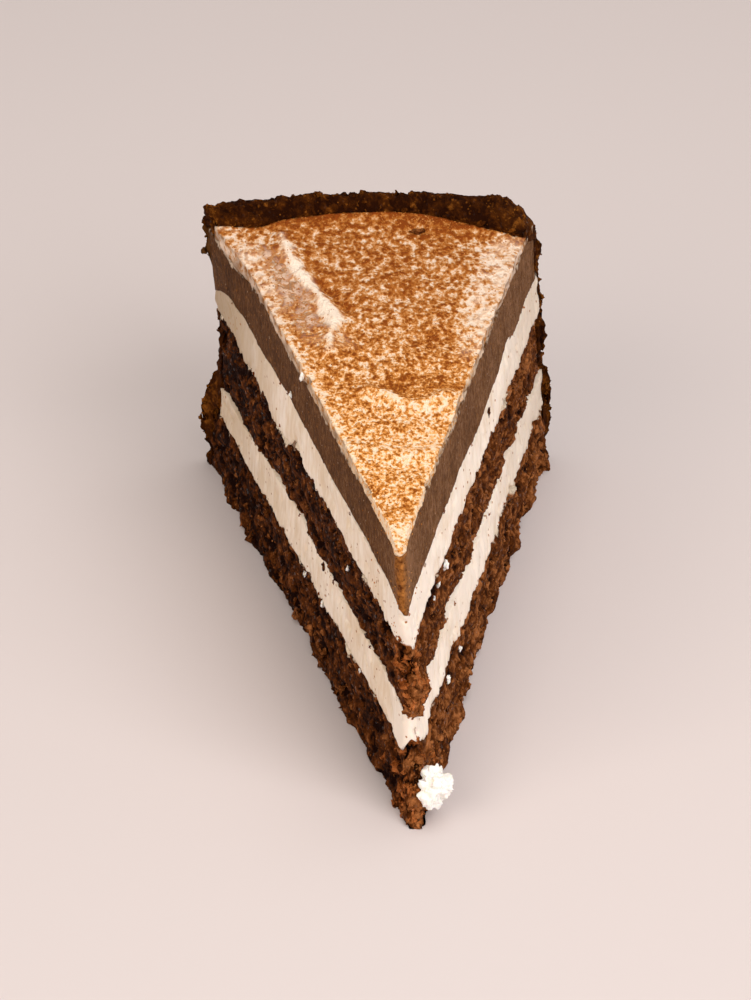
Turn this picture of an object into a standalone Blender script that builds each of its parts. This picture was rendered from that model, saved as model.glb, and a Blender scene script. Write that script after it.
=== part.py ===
"""A slice of layered coffee cake, one twelfth of a round cake, standing on its flat base.

From the base up it has a dark sponge, a layer of cream, a second sponge, a second layer of cream,
a thick coffee mousse and a thin coat of cream on top. Pressed cake crumbs cover the round outer
side and stand up as a low rim round the top, and a dab of cream clings to the tip.

The tip of the slice points to -Y and the round side to +Y. Lengths are in metres.
"""

import math

import bmesh
import bpy
from mathutils import Vector, noise
from mathutils.bvhtree import BVHTree

MM = 0.001

# ---------------------------------------------------------------- driving dimensions

CAKE_RADIUS = 130 * MM
CREAM_SURFACE = 55.2 * MM
RIM_HEIGHT = 58.2 * MM
GAP = 0.3 * MM

# The two cuts. Each leans inward with height and they meet in a line that is nearly upright.
LEFT_CUT_AT_BASE = math.radians(16.2)
LEFT_CUT_AT_TOP = math.radians(14.2)
RIGHT_CUT = math.radians(14.8)
MEETING_AT_BASE = Vector((0.6 * MM, -0.2 * MM))
MEETING_AT_TOP = Vector((-2.6 * MM, 5.4 * MM))

# The bottom sponge is pressed outward at its foot by the weight above it.
FOOT_FLARE = Vector((0.3 * MM, -4.7 * MM))
FLARE_HEIGHT = 14 * MM

# The tip is never knife-sharp: it keeps this half width, which fades along the slice.
TIP_HALF_WIDTH = 0.9 * MM
TIP_FADE = 5 * MM
TIP_ROUNDING = 1.1 * MM

# Seams between layers: height along the left cut, height along the right cut, unevenness.
SEAMS = (
    (0.0, 0.0, 0.0),
    (13.6 * MM, 13.5 * MM, 0.9 * MM),
    (22.5 * MM, 21.7 * MM, 0.8 * MM),
    (35.3 * MM, 34.2 * MM, 1.1 * MM),
    (43.5 * MM, 42.2 * MM, 0.8 * MM),
    (53.1 * MM, 53.7 * MM, 0.4 * MM),
)
WAVE_LENGTH = 14 * MM
WAVE_FADE = 10 * MM

# Places where a seam sags or swells: seam, side, distance from the tip, change, half width.
SWELLS = (
    (1, -1, 3 * MM, 1.3 * MM, 4 * MM),
    (1, 1, 3 * MM, 1.0 * MM, 4 * MM),
    (2, -1, 118 * MM, -2.7 * MM, 28 * MM),
    (2, 1, 124 * MM, -1.8 * MM, 8 * MM),
    (3, -1, 82 * MM, -1.6 * MM, 7 * MM),
    (3, -1, 67 * MM, 2.9 * MM, 3.2 * MM),
    (4, -1, 126 * MM, -4.2 * MM, 9 * MM),
    (4, 1, 92 * MM, 2.0 * MM, 6 * MM),
    (5, -1, 106 * MM, -1.2 * MM, 6 * MM),
)

# The left cut bows outward near the round side, at the level of the mousse.
BOW_START = 98 * MM
BOW_END = 121 * MM
BOW_LEVEL = (54 * MM, 2.4 * MM, 11 * MM)

# The foot of the right cut is tucked in beyond the tip: depth, height, start and full distance.
TUCK = (1.2 * MM, 13 * MM, 25 * MM, 60 * MM)

# Two layers run further back beside one cut: the cut's side and how much further.
LONGER = {"cream_lower": (1, 4.2 * MM), "mousse": (-1, 1.8 * MM)}
LONGER_FROM = 1.0 / 3.0

# Lattice rows along the slice: a few at the tip, an even ladder, and a few at the round side.
TIP_ROWS = 3
LADDER_ROWS = 40
BACK_ROWS = 4
LADDER_START = 8 * MM
LADDER_END = 110 * MM
ROWS = TIP_ROWS + LADDER_ROWS + BACK_ROWS

# Crumb coat on the round side.
COAT_COLUMNS = 20
COAT_DEPTH_STEPS = 3
COAT_LEAST = 0.6 * MM
COAT_CRAG = 0.8 * MM
RIM_CREST = 0.9 * MM
RIM_WIDE_END = 6.5 * MM
RIM_BULGE = (-0.76, 4.6 * MM, 0.2)
RIM_GAP = 0.7 * MM
CORNER_START = math.radians(11.3)
CORNER_WIDTH = 7.6 * MM
CORNER_DROP = 8.5 * MM
OUTER_DENTS = ((29 * MM, 1.9 * MM, 6 * MM), (0.0, 1.0 * MM, 3 * MM), (45 * MM, 0.4 * MM, 6 * MM))
END_SWELLS = {
    -1: ((12 * MM, 2.4 * MM, 7 * MM), (57 * MM, 1.5 * MM, 10 * MM)),
    1: ((15 * MM, 1.4 * MM, 8 * MM), (30 * MM, 1.3 * MM, 5 * MM), (47 * MM, 0.9 * MM, 9 * MM)),
}
RAMP_NEAR = 0.35 * MM
RAMP_FAR = 0.9 * MM

# Folds left by the palette knife in the cream top: a line of points, height and half width.
FOLDS = (
    (((-21, 114), (-19.5, 106), (-17, 99), (-13.6, 91), (-11, 81), (-10, 72)), 0.9 * MM, 2.2 * MM),
    (((-10, 58), (-5.6, 53.4), (-0.7, 51), (4, 51.8), (9, 55)), 1.0 * MM, 2.0 * MM),
    (((-9, 38), (0, 34), (5, 36)), 0.4 * MM, 2.0 * MM),
)
HOLLOW_LEFT = (Vector((-21 * MM, 94 * MM)), 0.7 * MM, 8 * MM)
PILE_AT_RIM = 0.9 * MM

# Dab of cream on the right cut close to the tip.
DAB_CENTRE = Vector((3.9 * MM, 3.6 * MM, 6.6 * MM))
DAB_HALF_SIZES = Vector((3.4 * MM, 3.5 * MM, 3.6 * MM))
DAB_LUMPS = 0.9 * MM
DAB_CLEARANCE = 0.45 * MM


# ---------------------------------------------------------------- small helpers

def clear_scene():
    """Remove every object, so that the script starts from nothing."""
    for thing in list(bpy.data.objects):
        bpy.data.objects.remove(thing, do_unlink=True)


def blend(low, high, share):
    """Straight mix of two values."""
    return low + (high - low) * share


def ease(start, end, value):
    """Zero before start, one after end, with a soft step between."""
    share = min(max((value - start) / (end - start), 0.0), 1.0)
    return share * share * (3.0 - 2.0 * share)


def bell(offset, half_width):
    """Bump of height one that is spent at about twice its half width."""
    return math.exp(-(offset / half_width) ** 2)


def grain(point, size, seed):
    """Smooth random value of about -1 to 1 with bumps of the given size."""
    return 1.6 * noise.noise(Vector(point) / size + Vector((seed * 7.13, seed * 3.7, seed * 1.9)))


def material(name, colour, roughness):
    """Plain food surface of one colour."""
    surface = bpy.data.materials.new(name)
    surface.use_nodes = True
    shader = surface.node_tree.nodes["Principled BSDF"]
    shader.inputs["Base Color"].default_value = (*colour, 1.0)
    shader.inputs["Roughness"].default_value = roughness
    shader.inputs["Metallic"].default_value = 0.0
    return surface


def lattice_solid(name, counts, place, surface):
    """Closed solid from the six faces of a lattice block, each point put where place says."""
    last_i, last_j, last_k = counts
    mesh = bmesh.new()
    points = {}
    for i in range(last_i + 1):
        for j in range(last_j + 1):
            for k in range(last_k + 1):
                if i in (0, last_i) or j in (0, last_j) or k in (0, last_k):
                    points[i, j, k] = mesh.verts.new(place(i, j, k))
    for i in range(last_i):
        for j in range(last_j):
            add_square(mesh, points, [(i, j, 0), (i, j + 1, 0), (i + 1, j + 1, 0), (i + 1, j, 0)])
            add_square(mesh, points, [(i, j, last_k), (i + 1, j, last_k),
                                      (i + 1, j + 1, last_k), (i, j + 1, last_k)])
    for i in range(last_i):
        for k in range(last_k):
            add_square(mesh, points, [(i, 0, k), (i + 1, 0, k), (i + 1, 0, k + 1), (i, 0, k + 1)])
            add_square(mesh, points, [(i, last_j, k), (i, last_j, k + 1),
                                      (i + 1, last_j, k + 1), (i + 1, last_j, k)])
    for j in range(last_j):
        for k in range(last_k):
            add_square(mesh, points, [(0, j, k), (0, j, k + 1), (0, j + 1, k + 1), (0, j + 1, k)])
            add_square(mesh, points, [(last_i, j, k), (last_i, j + 1, k),
                                      (last_i, j + 1, k + 1), (last_i, j, k + 1)])
    return finish_solid(name, mesh, surface)


def add_square(mesh, points, keys):
    """One four-sided face of a lattice block."""
    mesh.faces.new([points[key] for key in keys])


def finish_solid(name, mesh, surface):
    """Turn the faces outward, split them into triangles and make the object."""
    bmesh.ops.triangulate(mesh, faces=mesh.faces)
    bmesh.ops.recalc_face_normals(mesh, faces=mesh.faces)
    data = bpy.data.meshes.new(name)
    mesh.to_mesh(data)
    mesh.free()
    data.shade_smooth()
    data.set_sharp_from_angle(angle=math.radians(50))
    data.materials.append(surface)
    solid = bpy.data.objects.new(name, data)
    bpy.context.scene.collection.objects.link(solid)
    return solid


# ---------------------------------------------------------------- the wedge and its seams

def meeting_point(height):
    """Where the two cuts would meet at this height."""
    share = height / CREAM_SURFACE
    flare = max(0.0, 1.0 - height / FLARE_HEIGHT)
    return MEETING_AT_BASE.lerp(MEETING_AT_TOP, share) + FOOT_FLARE * flare


def bearing(across, height):
    """Angle from +Y of the line at this share across the slice: -1 is the left cut, 1 the right."""
    left = blend(LEFT_CUT_AT_BASE, LEFT_CUT_AT_TOP, height / CREAM_SURFACE)
    return blend(-left, RIGHT_CUT, (across + 1.0) / 2.0)


def plan_point(distance, across, height, push=0.0):
    """Point of the plan at a distance from the meeting point, pushed out of its cut."""
    angle = bearing(across, height)
    widening = TIP_HALF_WIDTH * math.exp(-max(distance, 0.0) / TIP_FADE) + push
    along = Vector((math.sin(angle), math.cos(angle)))
    return meeting_point(height) + along * distance + Vector((widening * across, 0.0))


def bow(distance, across, height):
    """How far the left cut bows outward at a place."""
    if across > 0.0:
        return 0.0
    level, depth, half_width = BOW_LEVEL
    return depth * bell(height - level, half_width) * ease(BOW_START, BOW_END, distance)


def tuck(distance, across, height):
    """How far the foot of the right cut is tucked in at a place."""
    depth, top, start, full = TUCK
    return depth * max(0.0, across) * max(0.0, 1.0 - height / top) * ease(start, full, distance)


def reach(radius, across, height):
    """Distance from the meeting point to a circle about the cake's centre."""
    angle = bearing(across, height)
    start = meeting_point(height)
    toward = start.x * math.sin(angle) + start.y * math.cos(angle)
    return -toward + math.sqrt(toward ** 2 - start.length_squared + radius ** 2)


def seam_height(seam, distance, across):
    """Height of a seam: wavy along each cut, and straight across between the two cuts."""
    left, right, unevenness = SEAMS[seam]
    height = blend(left, right, (across + 1.0) / 2.0)
    for side, weight in ((-1, (1.0 - across) / 2.0), (1, (1.0 + across) / 2.0)):
        spot = (distance, side * WAVE_LENGTH * 3.0, 0.0)
        broad = grain(spot, WAVE_LENGTH, seam)
        fine = grain(spot, WAVE_LENGTH / 2.4, seam)
        wave = unevenness * (0.65 * broad + 0.45 * fine) * ease(0.0, WAVE_FADE, distance + 1.0 * MM)
        for swell_seam, swell_side, place, change, half_width in SWELLS:
            if swell_seam == seam and swell_side == side:
                wave += change * bell(distance - place, half_width)
        height += weight * wave
    return height


def row_distance(row, tip_distance, back_distance):
    """Distance of a lattice row. All layers share the ladder, so their seams stay parallel."""
    if row < TIP_ROWS:
        return blend(tip_distance, LADDER_START, row / TIP_ROWS)
    if row <= TIP_ROWS + LADDER_ROWS:
        return blend(LADDER_START, LADDER_END, (row - TIP_ROWS) / LADDER_ROWS)
    return blend(LADDER_END, back_distance, (row - TIP_ROWS - LADDER_ROWS) / BACK_ROWS)


def fold_height(point):
    """Relief of the cream top: folds, a scraped hollow and the cream piled at the rim."""
    height = 0.0
    for line, rise, half_width in FOLDS:
        corners = [Vector(corner) * MM for corner in line]
        away = min(distance_to_run(point, *run) for run in zip(corners, corners[1:]))
        height += rise * bell(away, half_width)
    centre, depth, half_width = HOLLOW_LEFT
    height -= depth * bell((point - centre).length, half_width)
    height += PILE_AT_RIM * ease(CAKE_RADIUS - 16 * MM, CAKE_RADIUS - 4 * MM, point.length)
    return height + 0.3 * MM * grain((point.x, point.y, 0.0), 7 * MM, 11)


def distance_to_run(point, start, end):
    """Distance from a point to a straight run."""
    run = end - start
    share = min(max((point - start).dot(run) / run.length_squared, 0.0), 1.0)
    return (point - start - run * share).length


# ---------------------------------------------------------------- layers

# name, seam below, front of the foot and of the top, radius at the round side, lattice columns
# and levels, crag depth, crag size, material
LAYERS = (
    ("sponge_bottom", 0, (0.0, 4.9 * MM), 126.4 * MM, 3, 6, 1.15 * MM, 4.2 * MM, "dark_sponge"),
    ("cream_lower", 1, (4.0 * MM, 3.4 * MM), 124.0 * MM, 3, 3, 0.35 * MM, 6.0 * MM, "ivory_cream"),
    ("sponge_middle", 2, (2.7 * MM, 5.6 * MM), 125.2 * MM, 3, 6, 1.0 * MM, 4.2 * MM, "dark_sponge"),
    ("cream_upper", 3, (6.0 * MM, 3.6 * MM), 128.3 * MM, 3, 4, 0.4 * MM, 5.0 * MM, "ivory_cream"),
    ("mousse", 4, (3.2 * MM, 5.0 * MM), 125.8 * MM, 3, 4, 0.15 * MM, 9.0 * MM, "coffee_mousse"),
    ("cream_top", 5, (5.1 * MM, 5.5 * MM), 124.0 * MM, 20, 2, 0.25 * MM, 5.0 * MM, "dusted_cream"),
)
TOP_LAYER = len(LAYERS) - 1


def back_radius(layer, across):
    """Radius at which a layer ends. The rim is wider near both cuts, over the cream top."""
    name = LAYERS[layer][0]
    radius = LAYERS[layer][3]
    if layer == TOP_LAYER:
        place, inward, half_width = RIM_BULGE
        radius -= RIM_WIDE_END * ease(0.15, 1.0, across) + inward * bell(across - place, half_width)
    if name in LONGER:
        side, further = LONGER[name]
        radius += further * max(0.0, (across * side - LONGER_FROM) / (1.0 - LONGER_FROM))
    return radius


def nominal_height(seam):
    """Mean height of a seam, or of the surface of the cream top."""
    if seam == len(SEAMS):
        return CREAM_SURFACE
    return (SEAMS[seam][0] + SEAMS[seam][1]) / 2.0


def layer_place(layer, row, column, level):
    """Place of one lattice point of a layer."""
    seam, front, columns, levels, crag, crag_size = [LAYERS[layer][n] for n in (1, 2, 4, 5, 6, 7)]
    across = blend(-1.0, 1.0, column / columns)
    share = level / levels
    height = blend(nominal_height(seam), nominal_height(seam + 1), share)
    lead = blend(front[0], front[1], share) - meeting_point(height).y
    tip_distance = lead + TIP_ROUNDING * across ** 2
    if row == 0:
        tip_distance += 0.5 * crag * grain((across * 2 * MM, 0.0, height), crag_size, layer)
    distance = row_distance(row, tip_distance, reach(back_radius(layer, across), across, height))
    room = ease(0.0, 12 * MM, distance + 2 * MM)
    spot = (across * 40 * MM, distance, height)
    push = crag * room * (0.7 * grain(spot, crag_size, layer) + 0.4 * grain(spot, crag_size / 2, layer))
    push += bow(distance, across, height) - tuck(distance, across, height)
    flat = plan_point(distance, across, height, push)
    low = seam_height(seam, distance, across)
    if layer == TOP_LAYER:
        high = CREAM_SURFACE + fold_height(flat)
    else:
        high = seam_height(seam + 1, distance, across) - GAP / 2.0
    if seam > 0:
        low += GAP / 2.0
    return Vector((flat.x, flat.y, blend(low, high, share)))


def make_layer(layer, surfaces):
    """One layer of the slice."""
    name, _, _, _, columns, levels, _, _, surface = LAYERS[layer]

    def place(row, column, level):
        return layer_place(layer, row, column, level)

    return lattice_solid(name, (ROWS, columns, levels), place, surfaces[surface])


# ---------------------------------------------------------------- crumb coat and rim

def inner_column(across):
    """Radius and height of the coat's inner face, from the base to the cream top's surface."""
    column = []
    start = 0.0
    for layer in range(len(LAYERS)):
        radius = back_radius(layer, across) + (RIM_GAP if layer == TOP_LAYER else GAP)
        if layer == TOP_LAYER:
            column += [(radius, start), (radius, CREAM_SURFACE + PILE_AT_RIM + 0.5 * MM)]
            break
        distance = reach(radius, across, nominal_height(layer + 1))
        seam = seam_height(layer + 1, distance, across)
        if back_radius(layer + 1, across) > back_radius(layer, across):
            end = seam - RAMP_FAR
            next_start = seam - RAMP_NEAR
        else:
            end = seam + RAMP_NEAR
            next_start = seam + RAMP_FAR
        steps = max(2, round((nominal_height(layer + 1) - nominal_height(layer)) / (4 * MM)))
        column += [(radius, blend(start, end, step / steps)) for step in range(steps + 1)]
        start = next_start
    return column


def bared_radius(column, height):
    """Largest radius of the coat's inner face close to this height."""
    return max(radius for radius, level in column if abs(level - height) < 3.2 * MM)


def end_swell(side, height):
    """How far the crumbs at an end of the coat stand out of the cut on that side."""
    return sum(swell * bell(height - place, half) for place, swell, half in END_SWELLS[side])


def coat_place(depth, column_number, level, columns, levels):
    """Place of one lattice point of the crumb coat."""
    across = blend(-1.0, 1.0, column_number / COAT_COLUMNS)
    inner = columns[column_number]
    inner_radius, inner_height = inner[level]
    beyond = max(0.0, bearing(across, RIM_HEIGHT) - CORNER_START)
    round_share = min(beyond * CAKE_RADIUS / CORNER_WIDTH, 0.97)
    corner_drop = CORNER_DROP * (1.0 - math.sqrt(1.0 - round_share ** 2))
    outer_height = level / levels * (RIM_HEIGHT - corner_drop)
    angle = bearing(across, outer_height)
    spot = (angle * CAKE_RADIUS, 0.0, outer_height)
    dents = sum(dent * bell(outer_height - place, half) for place, dent, half in OUTER_DENTS)
    crag = COAT_CRAG * (0.7 * grain(spot, 5 * MM, 21) + 0.5 * grain(spot, 2.6 * MM, 22))
    outer_radius = CAKE_RADIUS - 0.5 * MM - dents + crag
    outer_radius = max(outer_radius, bared_radius(inner, outer_height) + COAT_LEAST)
    share = depth / COAT_DEPTH_STEPS
    radius = blend(inner_radius, outer_radius, share)
    height = blend(inner_height, outer_height, share)
    if level == levels:
        height += RIM_CREST * math.sin(math.pi * share) + 0.5 * MM * grain(spot, 4 * MM, 23) * share
    push = 0.6 * MM * share * grain((radius, 0.0, height), 4 * MM, 24)
    side = -1 if across < 0.0 else 1
    push += end_swell(side, height) * (0.35 + 0.65 * share) * ease(0.7, 1.0, abs(across))
    distance = reach(radius, across, height)
    push += bow(distance, across, height) - tuck(distance, across, height)
    flat = plan_point(distance, across, height, push)
    return Vector((flat.x, flat.y, height))


def make_coat(surface):
    """Crumbs pressed on the round side, with the rim that stands up round the top."""
    columns = [inner_column(blend(-1.0, 1.0, number / COAT_COLUMNS)) for number in range(COAT_COLUMNS + 1)]
    levels = len(columns[0]) - 1

    def place(depth, column_number, level):
        return coat_place(depth, column_number, level, columns, levels)

    return lattice_solid("crumb_rim", (COAT_DEPTH_STEPS, COAT_COLUMNS, levels), place, surface)


# ---------------------------------------------------------------- dab of cream at the tip

def cut_face_at(sponge_tree, place):
    """How far right the sponge stands at this height and distance from the tip."""
    front = blend(*LAYERS[0][2], place.z / nominal_height(1))
    if place.y < front - DAB_CLEARANCE:
        return -CAKE_RADIUS
    distance = max(0.0, (place.y - meeting_point(place.z).y) / math.cos(RIGHT_CUT))
    smooth_cut = plan_point(distance, 1.0, place.z).x
    hit = sponge_tree.ray_cast(Vector((CAKE_RADIUS, place.y, place.z)), Vector((-1.0, 0.0, 0.0)))[0]
    return max(smooth_cut, hit.x) if hit else smooth_cut


def make_dab(sponge, surface):
    """Lumpy dab of cream that clings to the right cut of the bottom sponge."""
    sponge_tree = BVHTree.FromPolygons(
        [point.co for point in sponge.data.vertices],
        [list(face.vertices) for face in sponge.data.polygons])
    mesh = bmesh.new()
    bmesh.ops.create_icosphere(mesh, subdivisions=3, radius=1.0)
    for point in mesh.verts:
        way = point.co.normalized()
        size = 1.0 + DAB_LUMPS / DAB_HALF_SIZES.x * 0.5 * grain(way, 0.55, 31)
        place = DAB_CENTRE + Vector(way[n] * DAB_HALF_SIZES[n] * size for n in range(3))
        place.x = max(place.x, cut_face_at(sponge_tree, place) + DAB_CLEARANCE)
        point.co = place
    return finish_solid("cream_lump", mesh, surface)


# ---------------------------------------------------------------- the whole slice

def centre_on_base(solids):
    """Put the origin at the middle of the bounding box's lowest face."""
    corners = [point.co for solid in solids for point in solid.data.vertices]
    middle_x = (min(p.x for p in corners) + max(p.x for p in corners)) / 2.0
    middle_y = (min(p.y for p in corners) + max(p.y for p in corners)) / 2.0
    for solid in solids:
        for point in solid.data.vertices:
            point.co -= Vector((middle_x, middle_y, 0.0))
    print("slice tip line stands at", [round(-1000.0 * middle, 2) for middle in (middle_x, middle_y)], "mm")


def main():
    clear_scene()
    surfaces = {
        "dark_sponge": material("dark_sponge", (0.052, 0.017, 0.006), 0.75),
        "ivory_cream": material("ivory_cream", (0.76, 0.62, 0.43), 0.45),
        "coffee_mousse": material("coffee_mousse", (0.16, 0.085, 0.043), 0.55),
        "dusted_cream": material("dusted_cream", (0.55, 0.25, 0.10), 0.7),
        "crumb_coat": material("crumb_coat", (0.045, 0.015, 0.005), 0.8),
    }
    solids = [make_layer(layer, surfaces) for layer in range(len(LAYERS))]
    solids.append(make_coat(surfaces["crumb_coat"]))
    solids.append(make_dab(solids[0], surfaces["ivory_cream"]))
    centre_on_base(solids)
    for solid in solids:
        print(solid.name, len(solid.data.polygons), "triangles")


main()
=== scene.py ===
# %% [markdown]
# # A slice of layered coffee cake
#
# The slice is one twelfth of a round cake. From the plate up it has a dark sponge, a layer of
# cream, a second sponge, a second layer of cream, a thick coffee mousse and a thin white cream
# dusted with cocoa. Crumbs are pressed on the round side and stand up as a rim.
#
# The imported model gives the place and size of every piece. This script dresses it: every layer is
# made again with the fine surface that a knife leaves in sponge, cream or mousse.

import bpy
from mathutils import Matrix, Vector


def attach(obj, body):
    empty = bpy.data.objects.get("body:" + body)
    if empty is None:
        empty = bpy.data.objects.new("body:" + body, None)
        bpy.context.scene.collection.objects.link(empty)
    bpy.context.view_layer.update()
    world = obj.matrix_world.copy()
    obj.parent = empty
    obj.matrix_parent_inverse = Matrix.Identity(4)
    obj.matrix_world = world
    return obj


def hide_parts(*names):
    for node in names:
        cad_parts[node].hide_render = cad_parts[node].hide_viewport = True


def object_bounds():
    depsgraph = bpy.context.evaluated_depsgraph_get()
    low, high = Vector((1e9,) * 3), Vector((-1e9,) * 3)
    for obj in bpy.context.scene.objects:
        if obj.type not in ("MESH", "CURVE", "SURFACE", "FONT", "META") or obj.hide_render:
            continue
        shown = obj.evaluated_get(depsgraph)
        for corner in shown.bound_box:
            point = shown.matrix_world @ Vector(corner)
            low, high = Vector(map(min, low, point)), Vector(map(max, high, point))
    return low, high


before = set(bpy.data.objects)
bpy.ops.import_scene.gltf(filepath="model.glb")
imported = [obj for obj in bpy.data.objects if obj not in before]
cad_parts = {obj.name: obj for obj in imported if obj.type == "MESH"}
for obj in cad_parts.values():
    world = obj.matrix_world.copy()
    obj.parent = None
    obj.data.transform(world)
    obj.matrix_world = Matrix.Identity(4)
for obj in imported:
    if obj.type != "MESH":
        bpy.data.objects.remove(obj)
cad_box = [list(corner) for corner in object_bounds()]

import math

import bmesh
import bpy
import numpy as np
from mathutils import Matrix, Vector, noise

MM = 0.001
print("box of the packed model, mm:", (np.array(cad_box) / MM).round(1).tolist())

# %% [markdown]
# The tip of the slice was the middle of the whole cake, so every length along the slice is
# counted from there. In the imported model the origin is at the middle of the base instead. The
# middle of the cake is found from the lowest corner of the box.

# %% The middle of the cake and the sizes that drive the slice
CAKE_RADIUS = 130 * MM
CREAM_SURFACE = 55.2 * MM
RIM_HEIGHT = 58.2 * MM
MIDDLE_FROM_CORNER = np.array((37.8 * MM, 0.12 * MM))
MIDDLE = np.array(cad_box[0][:2]) + MIDDLE_FROM_CORNER

LEFT_CUT_AT_BASE = math.radians(16.2)
LEFT_CUT_AT_TOP = math.radians(14.2)
RIGHT_CUT = math.radians(14.8)
MEETING_AT_BASE = np.array((0.6 * MM, -0.2 * MM))
MEETING_AT_TOP = np.array((-2.6 * MM, 5.4 * MM))
FOOT_FLARE = np.array((0.3 * MM, -4.7 * MM))
FLARE_HEIGHT = 14 * MM
TIP_HALF_WIDTH = 0.9 * MM
TIP_FADE = 5 * MM
TIP_ROUNDING = 1.1 * MM

# The left cut bows outward near the round side: level, depth and half width of the bow.
BOW_START = 98 * MM
BOW_END = 121 * MM
BOW_LEVEL = (54 * MM, 2.4 * MM, 11 * MM)

# The foot of the right cut is tucked in beyond the tip: depth, height, start and full distance.
TUCK = (1.2 * MM, 13 * MM, 25 * MM, 60 * MM)

print("middle of the cake stands at, mm:", (MIDDLE / MM).round(2))

# %% [markdown]
# Small helpers come first. `ease` is a soft step, `bell` a soft bump, and `grain` and `lumps` are
# two kinds of seeded noise: rolling, and packed like crumbs. A texture could push the surface
# about as well, but plain functions let one number drive the shape and the paint together.

# %% Helpers for soft steps and seeded noise
SEED_STEPS = (7.13, 3.7, 1.9)
GRAIN_GAIN = 1.6
LUMP_CAP, LUMP_GAIN, LUMP_DROP = 0.9, 1.6, 0.55


def blend(low, high, share):
    """Straight mix of two values."""
    return low + (high - low) * share


def ease(start, end, value):
    """Zero before start, one after end, with a soft step between."""
    share = np.clip((value - start) / (end - start), 0.0, 1.0)
    return share * share * (3.0 - 2.0 * share)


def bell(offset, half_width):
    """Bump of height one that is spent at about twice its half width."""
    return np.exp(-(np.asarray(offset) / half_width) ** 2)


def seed_shift(seed):
    """Far-away start in the noise field, so that every seed looks different."""
    return Vector([seed * step for step in SEED_STEPS])


def grain(points, size, seed):
    """Rolling noise of about -1 to 1 with bumps of the given size, for many points."""
    shift = seed_shift(seed)
    return np.array([GRAIN_GAIN * noise.noise(Vector(p) + shift) for p in np.asarray(points) / size])


def lumps(points, size, seed):
    """Packed lumps: about 0.5 on top of a lump and -0.5 in the crevice between two."""
    shift = seed_shift(seed)
    near = [noise.voronoi(Vector(p) + shift)[0] for p in np.asarray(points) / size]
    return np.array([min(d[1] - d[0], LUMP_CAP) * LUMP_GAIN - LUMP_DROP for d in near])


def warped(points, size, amount, seed):
    """The points shifted a little at random, so that lumps get uneven outlines."""
    return np.asarray(points) + amount * np.stack([grain(points, size, seed + i) for i in range(3)], -1)


def as_points(x, y, z):
    """One row per point."""
    return np.stack(np.broadcast_arrays(x, y, z), axis=-1).reshape(-1, 3)


print("noise at one point:", grain([(0.01, 0.02, 0.03)], 4 * MM, 1).round(3))

# %% [markdown]
# ## The wedge
#
# Both cuts are flat sheets that lean inward a little. A place in the slice is told by its distance
# from the line where the cuts meet, by how far across it is, from -1 on the left cut to 1 on the
# right one, and by its height. Building every layer from these three numbers keeps them all in
# one wedge, where a Boolean cut would have to be repeated for each layer.

# %% Places in the wedge
def meeting_point(height):
    """Where the two cuts would meet, for many heights."""
    share = (np.asarray(height) / CREAM_SURFACE)[..., None]
    flare = np.maximum(0.0, 1.0 - np.asarray(height) / FLARE_HEIGHT)[..., None]
    return MEETING_AT_BASE + (MEETING_AT_TOP - MEETING_AT_BASE) * share + FOOT_FLARE * flare


def bearing(across, height):
    """Angle from straight back of the line at this share across the slice."""
    left = blend(LEFT_CUT_AT_BASE, LEFT_CUT_AT_TOP, height / CREAM_SURFACE)
    return blend(-left, RIGHT_CUT, (across + 1.0) / 2.0)


def plan_point(distance, across, height, push):
    """Plan x and y at a distance from the meeting line, pushed out of the cut."""
    angle = bearing(across, height)
    start = meeting_point(height)
    widening = TIP_HALF_WIDTH * np.exp(-np.maximum(distance, 0.0) / TIP_FADE) + push
    x = start[..., 0] + np.sin(angle) * distance + widening * across
    y = start[..., 1] + np.cos(angle) * distance
    return x, y


def lean(distance, across, height):
    """How far a cut stands out: the left one bows out, and the foot of the right one tucks in."""
    level, depth, half_width = BOW_LEVEL
    bow = (across < 0.0) * depth * bell(height - level, half_width) * ease(BOW_START, BOW_END, distance)
    tucked, top, start, full = TUCK
    inward = tucked * np.maximum(0.0, across) * np.maximum(0.0, 1.0 - height / top)
    return bow - inward * ease(start, full, distance)


def reach(radius, across, height):
    """Distance from the meeting line to a circle about the middle of the cake."""
    angle = bearing(across, height)
    start = meeting_point(height)
    toward = start[..., 0] * np.sin(angle) + start[..., 1] * np.cos(angle)
    return -toward + np.sqrt(toward ** 2 - (start ** 2).sum(-1) + radius ** 2)


print("left cut at the top, mm:", round(float(reach(CAKE_RADIUS, -1.0, CREAM_SURFACE)) / MM, 1))

# %% [markdown]
# ## Seams
#
# A seam is the line where two layers meet. Spread cream is never level, and a knife drags it, so
# each seam waves, and the cream's edge is torn into small tongues. The heights are worked out
# once along each cut and then read off, which is far quicker than noise for every point.

# %% Seams between the layers
SEAMS = MM * np.array((
    # height at the left cut and the right cut, waviness, how torn it is on the left and the right,
    # and how far bristles of cream hang from it on the left and the right, all in mm
    (0, 0, 0, 0, 0, 0, 0),
    (13.6, 13.5, 0.9, 0.6, 0.8, 0.5, 0.9),
    (22.5, 21.7, 0.8, 0.20, 0.5, 0.1, 0.2),
    (35.3, 34.2, 1.1, 0.9, 1.0, 0.6, 1.5),
    (43.5, 42.2, 0.8, 0.30, 0.5, 0.1, 0.2),
    (53.1, 53.7, 0.4, 0.6, 0.4, 0.5, 0.3),
))
TOP_SEAM = len(SEAMS) - 1
SWELLS = (
    # seam and side, then in mm: place along the cut, rise and half width
    (1, -1, 3, 2.2, 2.6), (1, 1, 3, 2.0, 3.8), (2, -1, 118, -2.7, 28), (2, 1, 124, -1.8, 8),
    (3, -1, 82, -1.6, 7), (3, -1, 67, 2.9, 3.2), (4, -1, 126, -4.2, 9), (4, 1, 92, 2.0, 6),
    (5, -1, 106, -1.2, 6),
)
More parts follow.
